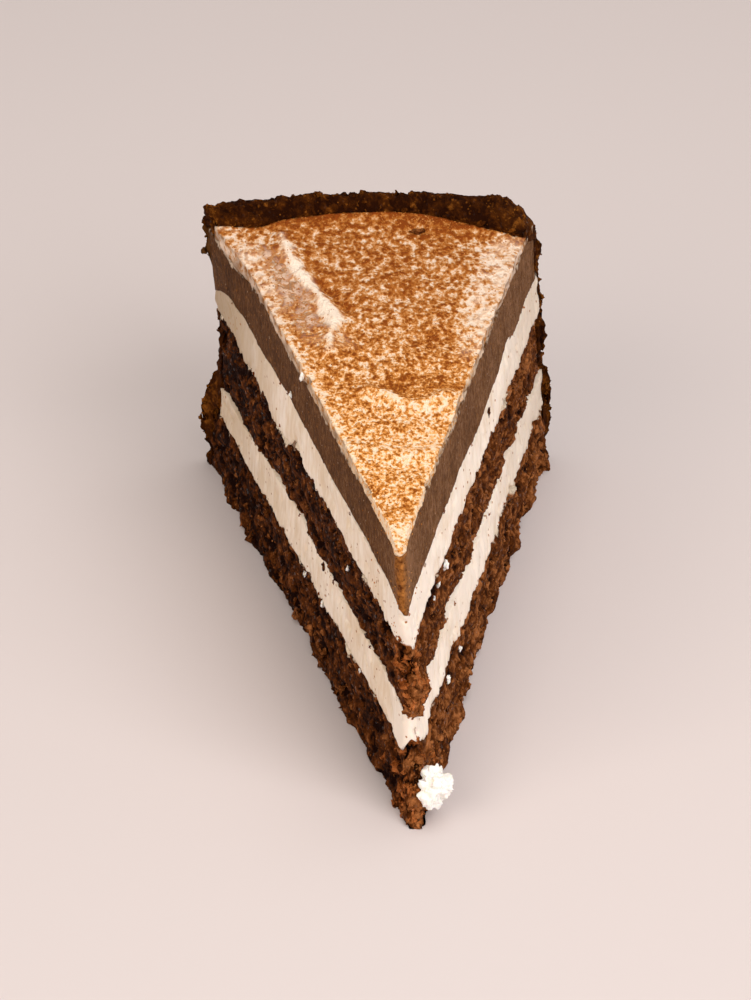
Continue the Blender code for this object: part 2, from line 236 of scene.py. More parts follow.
NOSE_TEARS = (
    # the notch and the hanging horn of the lower cream at the tip: rise in mm, place and half
    # width across, place and half width along in mm
    (1.5, 0.05, 0.42, 4.5, 3), (-1.6, -0.72, 0.3, 5.5, 2),
)
WAVE_LENGTH = 14 * MM
WAVE_FADE = 10 * MM
RAGGED_RUN = 9 * MM
TONGUE = 2.1 * MM
BRISTLE = 0.95 * MM
BRISTLE_RUN = 7 * MM
SEAM_MARGIN = 8 * MM
SEAM_STEP = 0.1 * MM
SEAM_STOPS = np.arange(-SEAM_MARGIN, CAKE_RADIUS + SEAM_MARGIN, SEAM_STEP)
print("stops along each cut:", len(SEAM_STOPS))

# %% [markdown]
# A spread layer rolls in broad waves, its torn edge ends in tongues, and fine bristles of cream
# hang from it. Each is noise of its own size, and the swells are bumps at named places. The edges
# could be drawn as curves by hand, but five seams on two cuts would be long work.

# %% Height of the seams
def seam_wave(seam, side):
    """Ups and downs of a seam along one cut, at every stop."""
    unevenness = SEAMS[seam][2]
    torn, hanging = SEAMS[seam][3::2] if side < 0 else SEAMS[seam][4::2]
    spots = as_points(SEAM_STOPS, side * WAVE_LENGTH * 3.0, 0.0)
    broad = 0.65 * grain(spots, WAVE_LENGTH, seam) + 0.45 * grain(spots, WAVE_LENGTH / 2.4, seam)
    ragged = 0.25 + ease(-0.3, 0.6, grain(spots, RAGGED_RUN, seam + 42))
    tongues = np.abs(grain(spots, TONGUE, seam + 40)) + 0.7 * np.abs(grain(spots, TONGUE / 2.3, seam + 41))
    bristles = ease(0.1, 0.7, grain(spots, BRISTLE, seam + 44))
    bristles = bristles * ease(-0.1, 0.5, grain(spots, BRISTLE_RUN, seam + 45))
    wave = unevenness * broad + torn * ragged * (0.55 - tongues)
    wave = wave * ease(0.0, WAVE_FADE, SEAM_STOPS + 1.0 * MM) - hanging * bristles
    for swell_seam, swell_side, place, rise, half_width in SWELLS:
        if (swell_seam, swell_side) == (seam, side):
            wave = wave + rise * MM * bell(SEAM_STOPS - place * MM, half_width * MM)
    return wave


WAVES = {(seam, side): seam_wave(seam, side) for seam in range(1, len(SEAMS)) for side in (-1, 1)}


def nose_tear(distance, across):
    """How far the edge of the lower cream is torn up or down at the tip."""
    return MM * sum(
        rise * bell(across - place, width) * bell(distance - along * MM, long * MM)
        for rise, place, width, along, long in NOSE_TEARS)


def seam_height(seam, distance, across):
    """Height of a seam: wavy along each cut, and straight across between the two cuts."""
    if seam == 0:
        return np.zeros(np.broadcast(distance, across).shape)
    left_share = (1.0 - across) / 2.0
    left = SEAMS[seam][0] + np.interp(distance, SEAM_STOPS, WAVES[seam, -1])
    right = SEAMS[seam][1] + np.interp(distance, SEAM_STOPS, WAVES[seam, 1])
    height = left * left_share + right * (1.0 - left_share)
    return height + nose_tear(distance, across) if seam == 1 else height


def nominal_height(seam):
    """Mean height of a seam, or of the surface of the cream top."""
    return CREAM_SURFACE if seam == len(SEAMS) else float(SEAMS[seam][0] + SEAMS[seam][1]) / 2.0


print("seams, mm:", [round(nominal_height(seam) / MM, 1) for seam in range(len(SEAMS) + 1)])

# %% [markdown]
# ## Camera, light and floor
#
# The camera looks down on the tip of the slice from a little to the left. A long lens from far off
# keeps the far end of the slice nearly as wide as it is, as a close wide lens would not.

# %% Camera
LENS = 122.4
SENSOR = 36.0
CAMERA_FROM_MIDDLE = Vector((-27.5 * MM, -468.2 * MM, 364.2 * MM))
LOOK_DOWN = math.radians(32.3)
LOOK_RIGHT = math.radians(2.5)
TILT = math.radians(0.7)

camera_data = bpy.data.cameras.new("camera")
camera_data.lens = LENS
camera_data.sensor_width = SENSOR
camera_data.clip_start = 10 * MM
camera = bpy.data.objects.new("camera", camera_data)
camera.matrix_world = (
    Matrix.Translation(CAMERA_FROM_MIDDLE + Vector((*MIDDLE, 0.0)))
    @ Matrix.Rotation(-LOOK_RIGHT, 4, "Z")
    @ Matrix.Rotation(math.pi / 2.0 - LOOK_DOWN, 4, "X")
    @ Matrix.Rotation(TILT, 4, "Z")
)
bpy.context.scene.collection.objects.link(camera)
bpy.context.scene.camera = camera
print("camera stands at, mm:", [round(v / MM) for v in camera.matrix_world.translation])

# %% [markdown]
# Food looks best in soft light from one side. A broad lamp on the right makes the right cut
# brighter than the left one, a weaker and warmer one fills the left side, and a small one above
# lifts the top. The light of the room is even and keeps the shadows pale. A sun would be simpler,
# but its shadows are hard.

# %% Lamps and the light of the room
CAKE_HEART = (0.0, 0.0, 0.03)
LAMPS = {
    # place, size in metres, power and colour
    "key_lamp": ((0.50, -0.62, 0.70), 0.7, 7.4, (1.0, 0.96, 0.93)),
    "fill_lamp": ((-0.65, -0.6, 0.55), 0.7, 4.6, (1.0, 0.88, 0.76)),
    "top_lamp": ((0.05, 0.15, 0.9), 0.6, 2.2, (1.0, 0.96, 0.92)),
}
ROOM_COLOUR = (1.0, 0.93, 0.86, 1.0)
ROOM_STRENGTH = 0.40


def soft_lamp(name, place, size, power, colour):
    """Square lamp turned towards the cake."""
    lamp_data = bpy.data.lights.new(name, "AREA")
    lamp_data.shape = "SQUARE"
    lamp_data.size = size
    lamp_data.energy = power
    lamp_data.color = colour
    lamp = bpy.data.objects.new(name, lamp_data)
    lamp.location = place
    lamp.rotation_euler = (Vector(CAKE_HEART) - Vector(place)).to_track_quat("-Z", "Y").to_euler()
    bpy.context.scene.collection.objects.link(lamp)


for name, lamp_sizes in LAMPS.items():
    soft_lamp(name, *lamp_sizes)

world = bpy.data.worlds.new("room")
world.use_nodes = True
room = world.node_tree.nodes["Background"]
room.inputs["Color"].default_value = ROOM_COLOUR
room.inputs["Strength"].default_value = ROOM_STRENGTH
bpy.context.scene.world = world
bpy.context.scene.view_settings.view_transform = "Standard"
print("lamps:", list(LAMPS))

# %% [markdown]
# Every material and the scatter tree are built from nodes, so one helper adds a node, sets its
# options and feeds its inputs with a number or with another node's socket. Nodes could be wired in
# the editor by hand, but then the script could not make the scene again by itself.

# %% Helper for nodes
def feed(tree, node, inputs):
    """Set each input of a node to a value, or link it to another node's socket."""
    for socket, value in inputs.items():
        if isinstance(value, bpy.types.NodeSocket):
            tree.links.new(value, node.inputs[socket])
        else:
            node.inputs[socket].default_value = value


def add_node(tree, kind, inputs, **options):
    """New node of a kind, with its options set and its inputs fed."""
    node = tree.nodes.new(kind)
    for option, value in options.items():
        setattr(node, option, value)
    feed(tree, node, inputs)
    return node


def new_finish(name, constants):
    """Material, its node tree, its shader and the places on the piece in metres."""
    made = bpy.data.materials.new(name)
    made.use_nodes = True
    tree = made.node_tree
    shader = tree.nodes["Principled BSDF"]
    feed(tree, shader, constants)
    return made, tree, shader, add_node(tree, "ShaderNodeTexCoord", {}).outputs["Object"]


print("node helpers:", [helper.__name__ for helper in (feed, add_node, new_finish)])

# %% [markdown]
# The floor is a plain pale sheet, far wider than the view, so that it has no edge in any view. It
# is part of the stage and not of the cake. A shadow catcher could take its place, but a pale sheet
# also throws soft light back on the foot of the slice.

# %% Floor
FLOOR_HALF = 3.0
floor_paint = new_finish("floor_paint", {"Base Color": (0.68, 0.615, 0.615, 1.0), "Roughness": 0.6})[0]
floor_mesh = bpy.data.meshes.new("floor")
floor_corners = [(x * FLOOR_HALF, y * FLOOR_HALF, 0) for x, y in ((-1, -1), (1, -1), (1, 1), (-1, 1))]
floor_mesh.from_pydata(floor_corners, [], [(0, 1, 2, 3)])
floor_mesh.materials.append(floor_paint)
floor = bpy.data.objects.new("floor", floor_mesh)
bpy.context.scene.collection.objects.link(floor)
print("the floor is", 2 * FLOOR_HALF, "m wide")

# %% [markdown]
# ## Finishes
#
# Each food gets its own material, mixed from noise that is as fine as the real grain. The pieces
# carry painted values too: `relief` is high on a crumb and low in a crevice, `lit` says how much
# the place catches the light, and `smear` where other food was dragged over it. Reading them in
# the material paints shade in the hollows and light on the crumbs, in a way that follows the mesh.

# %% Helpers for materials
def stretched(tree, places, factors):
    """Places squeezed by a factor on each axis, so that a pattern runs long."""
    return add_node(tree, "ShaderNodeVectorMath", {0: places, 1: factors}, operation="MULTIPLY").outputs[0]


def cloudy(tree, places, size, detail=2.0, roughness=0.5):
    """Noise from 0 to 1 with patches of the given size."""
    inputs = {"Vector": places, "Scale": 1.0 / size, "Detail": detail, "Roughness": roughness}
    return add_node(tree, "ShaderNodeTexNoise", inputs).outputs["Fac"]


def cells(tree, places, size):
    """Distance to the nearest of many scattered points, 0 at the point."""
    return add_node(tree, "ShaderNodeTexVoronoi", {"Vector": places, "Scale": 1.0 / size}).outputs["Distance"]


def painted(tree, name):
    """Value that the piece's own mesh carries."""
    return add_node(tree, "ShaderNodeAttribute", {}, attribute_name=name).outputs["Fac"]


def figured(tree, operation, first, second):
    """Two values put through one Math node."""
    return add_node(tree, "ShaderNodeMath", {0: first, 1: second}, operation=operation).outputs[0]


def weighted(tree, *terms):
    """Sum of values, each times its own weight."""
    parts = [figured(tree, "MULTIPLY", value, weight) for value, weight in terms]
    total = parts[0]
    for part in parts[1:]:
        total = figured(tree, "ADD", total, part)
    return total


def stepped(tree, value, low, high):
    """0 below low and 1 above high, with a soft step between."""
    inputs = {"Value": value, "From Min": low, "From Max": high}
    return add_node(tree, "ShaderNodeMapRange", inputs, interpolation_type="SMOOTHSTEP").outputs["Result"]


def tones(tree, value, *stops):
    """Colour ramp: stops are (place, colour)."""
    node = add_node(tree, "ShaderNodeValToRGB", {"Fac": value})
    while len(node.color_ramp.elements) < len(stops):
        node.color_ramp.elements.new(0.5)
    for element, (place, colour) in zip(node.color_ramp.elements, stops):
        element.position = place
        element.color = (*colour, 1.0)
    return node.outputs["Color"]


def mixed(tree, share, first, second):
    """Mix of two colours, each a socket or three numbers."""
    first, second = ((*c, 1.0) if isinstance(c, tuple) else c for c in (first, second))
    inputs = {"Factor": share, 6: first, 7: second}
    return add_node(tree, "ShaderNodeMix", inputs, data_type="RGBA").outputs[2]


def bumped(tree, heights, depth):
    """Fine relief that is too small for the mesh, as a normal for the shader."""
    inputs = {"Height": heights, "Strength": 1.0, "Distance": depth}
    return add_node(tree, "ShaderNodeBump", inputs).outputs["Normal"]


patterns = (stretched, cloudy, cells, painted, figured, weighted, stepped, tones, mixed, bumped)
print("helpers for materials:", [helper.__name__ for helper in patterns])

# %% [markdown]
# Cocoa sponge is painted nearly black in its pores and crevices, as painted shade, and red-brown
# and lighter on the torn crumbs, as painted light where they catch it. One sum of relief, noise
# and light runs through three tones. Moist spots are smoother and glint, and small pale spots are
# painted glints. One tone with a bump would be simpler, but looks like plastic.

# %% Sponge
SPONGE_SQUEEZE = (1.0, 0.6, 1.0)
SPONGE_GRAIN, CRUMB_PATCH, BROAD_PATCH = 0.7 * MM, 1.5 * MM, 3.4 * MM
PAINTED_GLINT_SPOTS, MOIST_SPOTS = 2.3 * MM, 1.3 * MM
MOIST_ROUGHNESS, DRY_GLOSS = 0.22, 0.04
CREAM_SMEAR = (0.82, 0.69, 0.54)
MOUSSE_SMEAR = (0.125, 0.052, 0.014)


def sponge_finish(name, dark, middle, bright, roughness, glinting, smeared_with=CREAM_SMEAR):
    """Moist cocoa sponge or crumbs. Another food is smeared on it where `smear` is painted."""
    made, tree, shader, places = new_finish(name, {})
    places = stretched(tree, places, SPONGE_SQUEEZE)
    fine = stepped(tree, cloudy(tree, places, SPONGE_GRAIN, 3.0, 0.7), 0.28, 0.72)
    broad = stepped(tree, cloudy(tree, places, BROAD_PATCH), 0.34, 0.66)
    crumb = stepped(tree, cloudy(tree, places, CRUMB_PATCH, 1.0), 0.32, 0.68)
    # relief paints shade in the hollows and light on the crumbs, and lit paints light on the tip and the
    # right side
    tone = weighted(tree, (painted(tree, "relief"), 0.30), (fine, 0.40), (broad, 0.22), (crumb, 0.20),
                    (painted(tree, "lit"), 0.24))
    colour = tones(tree, tone, (0.06, dark), (0.47, middle), (1.0, bright))
    # small pale spots in the bright tone are painted glints
    colour = mixed(tree, stepped(tree, cells(tree, places, PAINTED_GLINT_SPOTS), 0.075, 0.05), colour, bright)
    colour = mixed(tree, painted(tree, "smear"), colour, smeared_with)
    moist = stepped(tree, cells(tree, places, MOIST_SPOTS), 0.22, 0.14)
    feed(tree, shader, {
        "Base Color": colour,
        "Roughness": tones(tree, moist, (0.0, (roughness,) * 3), (1.0, (MOIST_ROUGHNESS,) * 3)),
        "Specular IOR Level": tones(tree, moist, (0.0, (DRY_GLOSS,) * 3), (1.0, (glinting,) * 3)),
        "Normal": bumped(tree, fine, 0.25 * MM),
    })
    return made


sponge_dark = sponge_finish(
    "moist_cocoa_sponge", (0.010, 0.0016, 0.0002), (0.108, 0.028, 0.0042), (0.44, 0.160, 0.050), 0.65, 0.45)
torn_crumb = sponge_finish(
    "torn_cocoa_crumb", (0.020, 0.0026, 0.0002), (0.155, 0.034, 0.0036), (0.52, 0.165, 0.045), 0.5, 0.9)
crumb_dark = sponge_finish(
    "pressed_cocoa_crumbs", (0.018, 0.0034, 0.0002), (0.060, 0.0145, 0.0008), (0.24, 0.078, 0.010),
    0.85, 0.08, MOUSSE_SMEAR)
print("sponge finishes:", sponge_dark.name, torn_crumb.name, crumb_dark.name)

# %% [markdown]
# The creams are ivory and satin. A knife drags them downwards, so their faint stripes stand
# upright, and a few cocoa specks are caught in them. Light goes a little way into cream, which
# subsurface scattering gives. Towards the round side, and most on the left, the cream is painted
# darker and browner as painted shade. One pale tone would be quicker, but looks like plaster.

# %% Creams
DRAG_SQUEEZE = (1.0, 1.0, 0.3)
DRAG_WIDTH, CREAM_PATCH, SPECK_APART, SPECK_PATCH = 1.5 * MM, 9 * MM, 1.7 * MM, 5 * MM
# colour of the painted shade towards the round side of the creams
CREAM_IN_PAINTED_SHADE = (0.41, 0.295, 0.185)
CAUGHT_SPECK = (0.36, 0.140, 0.035)
SPECK_EDGE = 0.02


def cream_finish(name, deep, pale, speck_share, glow):
    """Whipped cream with faint drag marks and cocoa specks, and painted shade that makes it darker and
    browner towards the round side.
    """
    made, tree, shader, places = new_finish(name, {
        "Roughness": 0.5, "Specular IOR Level": 0.25, "Subsurface Weight": glow,
        "Subsurface Radius": (1.2 * MM, 0.8 * MM, 0.5 * MM), "Subsurface Scale": 1.0})
    drag = cloudy(tree, stretched(tree, places, DRAG_SQUEEZE), DRAG_WIDTH, 3.0, 0.6)
    broad = cloudy(tree, places, CREAM_PATCH, 1.0)
    tone = weighted(tree, (drag, 0.6), (broad, 0.4), (painted(tree, "lit"), 0.12))
    colour = mixed(tree, stepped(tree, tone, 0.33, 0.68), deep, pale)
    colour = mixed(tree, painted(tree, "painted_back_shade"), colour, CREAM_IN_PAINTED_SHADE)
    off_speck = stepped(tree, cells(tree, places, SPECK_APART), 0.11, 0.19)
    rare = cloudy(tree, places, SPECK_PATCH, 1.0)
    rare = stepped(tree, rare, 1.0 - speck_share - SPECK_EDGE, 1.0 - speck_share + SPECK_EDGE)
    shown = figured(tree, "MULTIPLY", figured(tree, "SUBTRACT", 1.0, off_speck), rare)
    colour = mixed(tree, shown, colour, CAUGHT_SPECK)
    feed(tree, shader, {"Base Color": colour, "Normal": bumped(tree, drag, 0.22 * MM)})
    return made


ivory_cream = cream_finish("ivory_cream", (0.76, 0.60, 0.44), (0.94, 0.83, 0.725), 0.50, 0.12)
white_cream = cream_finish("white_cream", (0.98, 0.93, 0.86), (1.0, 0.97, 0.93), 0.20, 0.30)
print("cream finishes:", ivory_cream.name, white_cream.name)

# %% [markdown]
# The mousse is set firm, so a knife leaves a smooth face with fine upright scratches, pores and
# grains of coffee. Its pores are painted dark as painted shade, and small pale spots on it are
# painted glints. It is darker towards the left back, as painted shade, and torn at the tip. The
# mesh has the broader scratches, and the finest ones are too shallow for it and are bump.

# %% Mousse
MOUSSE_TONES = ((0.0, (0.046, 0.014, 0.0012)), (0.5, (0.134, 0.050, 0.0120)), (1.0, (0.30, 0.145, 0.064)))
TORN_TONES = ((0.36, (0.11, 0.028, 0.003)), (0.64, (0.50, 0.190, 0.042)))
CREAM_ON_MOUSSE = (0.70, 0.55, 0.42)
MOUSSE_SPOTS = (
    # squeeze, distance apart, size within and without, and colour: pores darkened as painted shade,
    # coffee grains, and painted glints
    ((1.0, 1.0, 1.0), 0.9 * MM, 0.13, 0.24, (0.085, 0.026, 0.004)),
    ((1.1, 1.0, 1.0), 1.6 * MM, 0.10, 0.17, (0.30, 0.105, 0.018)),
    ((1.0, 1.2, 0.9), 2.1 * MM, 0.05, 0.09, (0.55, 0.36, 0.24)),
)


def mousse_finish():
    """Firm coffee mousse cut with a knife."""
    made, tree, shader, places = new_finish("coffee_mousse", {"Roughness": 0.65, "Specular IOR Level": 0.08})
    scratch = cloudy(tree, stretched(tree, places, (1.0, 1.0, 0.6)), 0.8 * MM, 4.0, 0.75)
    scratch = stepped(tree, scratch, 0.28, 0.72)
    broad = stepped(tree, cloudy(tree, stretched(tree, places, (1.0, 1.0, 0.5)), 5 * MM), 0.3, 0.7)
    tone = weighted(tree, (scratch, 0.65), (broad, 0.20), (painted(tree, "lit"), 0.20))
    colour = tones(tree, tone, *MOUSSE_TONES)
    torn = tones(tree, cloudy(tree, places, 1.2 * MM, 3.0, 0.7), *TORN_TONES)
    colour = mixed(tree, painted(tree, "torn"), colour, torn)
    colour = mixed(tree, painted(tree, "smear"), colour, CREAM_ON_MOUSSE)
    off_spots = []
    for squeeze, apart, within, without, spot_colour in MOUSSE_SPOTS:
        spots = cells(tree, stretched(tree, places, squeeze), apart)
        off_spots.append(stepped(tree, spots, within, without))
        colour = mixed(tree, off_spots[-1], spot_colour, colour)
    heights = weighted(tree, (scratch, 1.0), (off_spots[0], 0.6))
    feed(tree, shader, {"Base Color": colour, "Normal": bumped(tree, heights, 0.26 * MM)})
    return made


coffee_mousse = mousse_finish()
print("mousse finish:", coffee_mousse.name)

# %% [markdown]
# The top is white cream under sifted cocoa. How much cocoa lies where is painted on the mesh as
# `dust`. The material adds a fine noise to that share, and the sum runs from white cream through
# thin powder to thick cocoa, which gives clumps. A thin `veil` of powder tints the scraped hollow,
# `bare` is where the cream shows, and `far` leads from the tip to the rim, where the tones are
# darker and greyer as painted shade. An image would hold such a top as well, but it blurs close up.

# %% Cocoa-dusted cream
SWEPT = (1.0, 0.66, 1.0)
COARSE_CLUMP, FINE_CLUMP = 1.35 * MM, 0.60 * MM
COARSE_FAR, COARSE_NEAR, CLUMP_SUM = 0.40, 0.55, 1.65
TONES_NEAR_TIP = (
    (0.02, (1.0, 0.77, 0.55)), (0.25, (1.0, 0.56, 0.24)), (0.46, (0.78, 0.32, 0.070)),
    (0.70, (0.50, 0.160, 0.018)), (1.0, (0.25, 0.054, 0.002)))
# the darker, greyer tones near the rim are painted shade
TONES_SHADED_NEAR_RIM = (
    (0.0, (0.84, 0.65, 0.52)), (0.25, (0.74, 0.46, 0.27)), (0.45, (0.56, 0.245, 0.080)),
    (0.68, (0.41, 0.130, 0.018)), (1.0, (0.24, 0.050, 0.003)))
TONES_OF_VEIL = ((0.45, (0.22, 0.090, 0.036)), (0.80, (0.46, 0.24, 0.125)), (1.15, (0.92, 0.70, 0.54)))
BARE_CREAM = (1.0, 0.86, 0.72)
DRAGGED_MOUSSE = (0.17, 0.070, 0.020)


def dusted_finish():
    """White cream top with sifted cocoa in clumps and a thin veil."""
    made, tree, shader, places = new_finish(
        "cocoa_dusted_cream", {"Roughness": 0.8, "Specular IOR Level": 0.12})
    swept = stretched(tree, places, SWEPT)
    coarse = stepped(tree, cloudy(tree, swept, COARSE_CLUMP, 1.0, 0.5), 0.22, 0.78)
    fine = stepped(tree, cloudy(tree, swept, FINE_CLUMP, 2.0, 0.6), 0.20, 0.80)
    coarse_share = figured(tree, "MULTIPLY", painted(tree, "far"), COARSE_FAR)
    coarse_share = figured(tree, "ADD", coarse_share, COARSE_NEAR)
    fine_share = figured(tree, "SUBTRACT", CLUMP_SUM, coarse_share)
    clumps = weighted(tree, (coarse, coarse_share), (fine, fine_share))
    depth = figured(tree, "ADD", painted(tree, "dust"), figured(tree, "SUBTRACT", clumps, CLUMP_SUM / 2.0))
    near_tip = tones(tree, depth, *TONES_NEAR_TIP)
    # towards the rim the tones turn darker, as painted shade
    colour = mixed(tree, painted(tree, "far"), near_tip, tones(tree, depth, *TONES_SHADED_NEAR_RIM))
    colour = mixed(tree, painted(tree, "veil"), colour, tones(tree, clumps, *TONES_OF_VEIL))
    colour = mixed(tree, painted(tree, "bare"), colour, BARE_CREAM)
    colour = mixed(tree, painted(tree, "smear"), colour, DRAGGED_MOUSSE)
    feed(tree, shader, {"Base Color": colour, "Normal": bumped(tree, depth, 0.35 * MM)})
    return made


dusted_cream = dusted_finish()
cocoa_powder = sponge_finish(
    "cocoa_grains", (0.24, 0.066, 0.006), (0.46, 0.155, 0.025), (0.72, 0.33, 0.100), 0.9, 0.1)
print("top finishes:", dusted_cream.name, cocoa_powder.name)

# %% [markdown]
# ## A closed piece from a lattice
#
# Every layer is a block whose six faces are a fine lattice. The lattice is bent into the wedge and
# then pushed in and out by noise. It could also be carved by sculpting, but a lattice keeps even
# faces on the long cut faces and closes the tip with no pole.

# %% The lattice
def lattice(along_count, across_count, up_count):
    """Steps of every point on a block's six faces, as shares, and the squares between the points."""
    last = np.array((along_count, across_count, up_count))
    grid = np.stack(np.meshgrid(*(np.arange(n + 1) for n in last), indexing="ij"), -1).reshape(-1, 3)
    outer = ((grid == 0) | (grid == last)).any(1)
    number = np.full(len(grid), -1)
    number[outer] = np.arange(outer.sum())
    number = number.reshape(last + 1)
    squares = []
    for axis in range(3):
        for end in (0, -1):
            sheet = number.take(end, axis=axis)
            ring = [sheet[:-1, :-1], sheet[1:, :-1], sheet[1:, 1:], sheet[:-1, 1:]]
            if (end == 0) == (axis == 1):
                ring.reverse()
            squares.append(np.stack(ring, -1).reshape(-1, 4))
    return (grid[outer] / last).T, np.concatenate(squares)


print("points of a small lattice:", lattice(3, 2, 2)[0].shape[1])

# %% [markdown]
# Every finished mesh becomes a piece in the same way: it rides with the cake and stands for the
# solids that it replaces. The few points that noise pushes out of the imported model's box are
# pulled back onto it. Scaling the whole cake would do that too, but it would shift every seam.

# %% From a mesh to a piece of the cake
def read(values, title, width):
    """One property of many vertices or attribute values, a row for each."""
    flat = np.empty(len(values) * width)
    values.foreach_get(title, flat)
    return flat.reshape(-1, width)


def paint(mesh, title, values):
    """Give each point of a mesh a value under a title."""
    layer = mesh.attributes.new(title, "FLOAT", "POINT")
    layer.data.foreach_set("value", np.asarray(values, np.float32))


def new_piece(name, mesh):
    """Smooth object at the origin that shows a mesh."""
    mesh.shade_smooth()
    piece = bpy.data.objects.new(name, mesh)
    bpy.context.scene.collection.objects.link(piece)
    return piece


def finished(name, points, squares, finish, painted_values):
    """Lattice points, counted from the middle of the cake, as an object with painted values."""
    mesh = bpy.data.meshes.new(name)
    mesh.from_pydata((points + np.array((*MIDDLE, 0.0))).tolist(), [], squares.tolist())
    for title, values in painted_values.items():
        paint(mesh, title, values)
    mesh.materials.append(finish)
    return new_piece(name, mesh)


def kept_inside(mesh):
    """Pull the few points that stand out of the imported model's box back onto it."""
    points = np.clip(read(mesh.vertices, "co", 3), np.array(cad_box[0]), np.array(cad_box[1]))
    mesh.vertices.foreach_set("co", points.ravel())
    mesh.update()


def hand_over(piece, nodes):
    """The piece rides with the cake and stands for its solids, which are hidden."""
    kept_inside(piece.data)
    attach(piece, "root")
    if nodes:
        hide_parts(*nodes)
    print(f"{piece.name}: {sum(len(f.vertices) - 2 for f in piece.data.polygons)} triangles")
    return piece


print("pieces stay inside, mm:", (np.array(cad_box) / MM).round(1).tolist())

# %% [markdown]
# ## Sizes of the layers
#
# The lower layers stand out further at the tip than the upper ones, because the knife drags the
# soft ones back, and each ends at its own radius at the round side. They could be one size with a
# Boolean cut, but a real slice shows these small steps.

# %% Sizes of the layers
LAYER_SIZES = {
    # seam below, then in mm: front of the foot and of the top, radius, depth and size of the crags
    "sponge_bottom": (0, 0.0, 4.9, 126.4, 1.15, 4.2),
    "cream_lower": (1, 4.0, 3.4, 124.0, 0.35, 6.0),
    "sponge_middle": (2, 2.7, 5.6, 125.2, 1.0, 4.2),
    "cream_upper": (3, 6.0, 3.6, 128.3, 0.4, 5.0),
    "mousse": (4, 3.2, 5.0, 125.8, 0.15, 9.0),
    "cream_top": (5, 5.1, 5.5, 124.0, 0.25, 5.0),
}
LAYERS = {name: (sizes[0], *(size * MM for size in sizes[1:])) for name, sizes in LAYER_SIZES.items()}
RADIUS_COLUMN = 3
RIM_WIDE_END = 6.5 * MM
RIM_BULGE = (-0.76, 2.6 * MM, 0.2)  # place across, depth inward, half width across
# side of the cut at which a layer reaches further back, and how far
LONGER = {"cream_lower": (1, 4.2 * MM), "mousse": (-1, 1.8 * MM)}
LONGER_FROM = 1.0 / 3.0


def back_radius(name, across):
    """Radius at which a layer ends. The rim is wider near both cuts, over the cream top."""
    radius = LAYERS[name][RADIUS_COLUMN]
    if name == "cream_top":
        place, inward, half_width = RIM_BULGE
        radius = radius - RIM_WIDE_END * ease(0.15, 1.0, across) - inward * bell(across - place, half_width)
    if name in LONGER:
        side, further = LONGER[name]
        radius = radius + further * np.maximum(0.0, (across * side - LONGER_FROM) / (1.0 - LONGER_FROM))
    return radius


print("radius of each layer, mm:", [sizes[RADIUS_COLUMN] for sizes in LAYER_SIZES.values()])

# %% [markdown]
# ## Relief of the cut faces
#
# A knife tears sponge: clods and crumbs stand out, pits and air holes open between them, and all
# of it is stretched along the cut. Cream shows drag marks and nicks, and mousse fine scratches.
# An image could push the faces instead. Noise is used because the same numbers give the depth and
# the tone, so that painted shade lies in the real hollows and painted light on the crumbs.

# %% Relief of sponge, cream and mousse
HOLES = (
    # plan x and y, height, half width along the cut and upright, and depth, in mm
    (-8.2, 29.0, 31.0, 2.0, 1.2, 1.8), (-19.2, 67.1, 3.9, 2.0, 0.9, 1.4), (-13.6, 48.8, 5.0, 1.8, 1.0, 1.4),
    (-24.1, 83.9, 5.9, 2.2, 1.0, 1.3), (-18.2, 65.3, 31.2, 1.8, 0.9, 1.2), (3.2, 21.0, 32.4, 1.6, 1.5, 1.0),
    (4.3, 24.8, 32.9, 2.2, 1.4, 1.8), (9.0, 33.0, 9.6, 1.6, 0.7, 1.0), (-0.4, 4.6, 31.8, 2.1, 0.8, 2.0),
    (-0.6, 3.8, 13.6, 2.2, 1.3, 2.4), (1.4, 2.4, 9.4, 1.3, 0.8, 1.5), (-1.4, 0.6, 6.6, 1.3, 0.6, 1.3),
    (0.9, -2.4, 3.6, 1.2, 0.6, 1.0),
)
ALONG_CUT = np.array((1.0, 0.55, 1.0))
CLOD, CRUMB, SMALL_CRUMB, PATCH, PIT, SMALL_PIT = (
    size * MM for size in (2.8, 1.35, 0.62, 6, 2.3, 1.3))
SPONGE_SINKS = 0.15 * MM
DRAG, FIBRE, NICK, SCRATCH, TORN_LUMP = (size * MM for size in (2.0, 0.9, 2.4, 1.2, 1.5))


def hole_depth(spots):
    """How deep the air holes of the sponge are at many points, in metres."""
    depth = np.zeros(len(spots))
    for x, y, z, wide, tall, deep in HOLES:
        beside = np.hypot(spots[:, 0] / MM - x, spots[:, 1] / MM - y)
        depth += deep * MM * bell(np.hypot(beside / wide, (spots[:, 2] / MM - z) / tall), 1.0)
    return depth


def sponge_relief(spots):
    """Crumbs and pits of a torn sponge face, in metres, and the same as a tone that paints shade in the pits
    and air holes and light on the crumbs.
    """
    bent = warped(spots, 1.2 * MM, 0.35 * MM, 60) * ALONG_CUT
    clods = lumps(bent, CLOD, 66)
    crumbs = lumps(bent, CRUMB, 61)
    small = lumps(bent, SMALL_CRUMB, 62)
    patch = ease(-0.3, 0.7, grain(spots, PATCH, 63))
    pits = ease(0.38, 0.95, grain(bent, PIT, 64)) + 0.6 * ease(0.45, 0.9, grain(bent, SMALL_PIT, 65))
    holes = hole_depth(spots)
    depth = (0.42 * clods + (0.16 + 0.24 * patch) * crumbs + 0.13 * small - 0.9 * pits) * MM - holes
    return depth - SPONGE_SINKS, 0.9 * clods + 0.9 * crumbs + 0.6 * small - 1.6 * pits - 3.0 * holes / MM


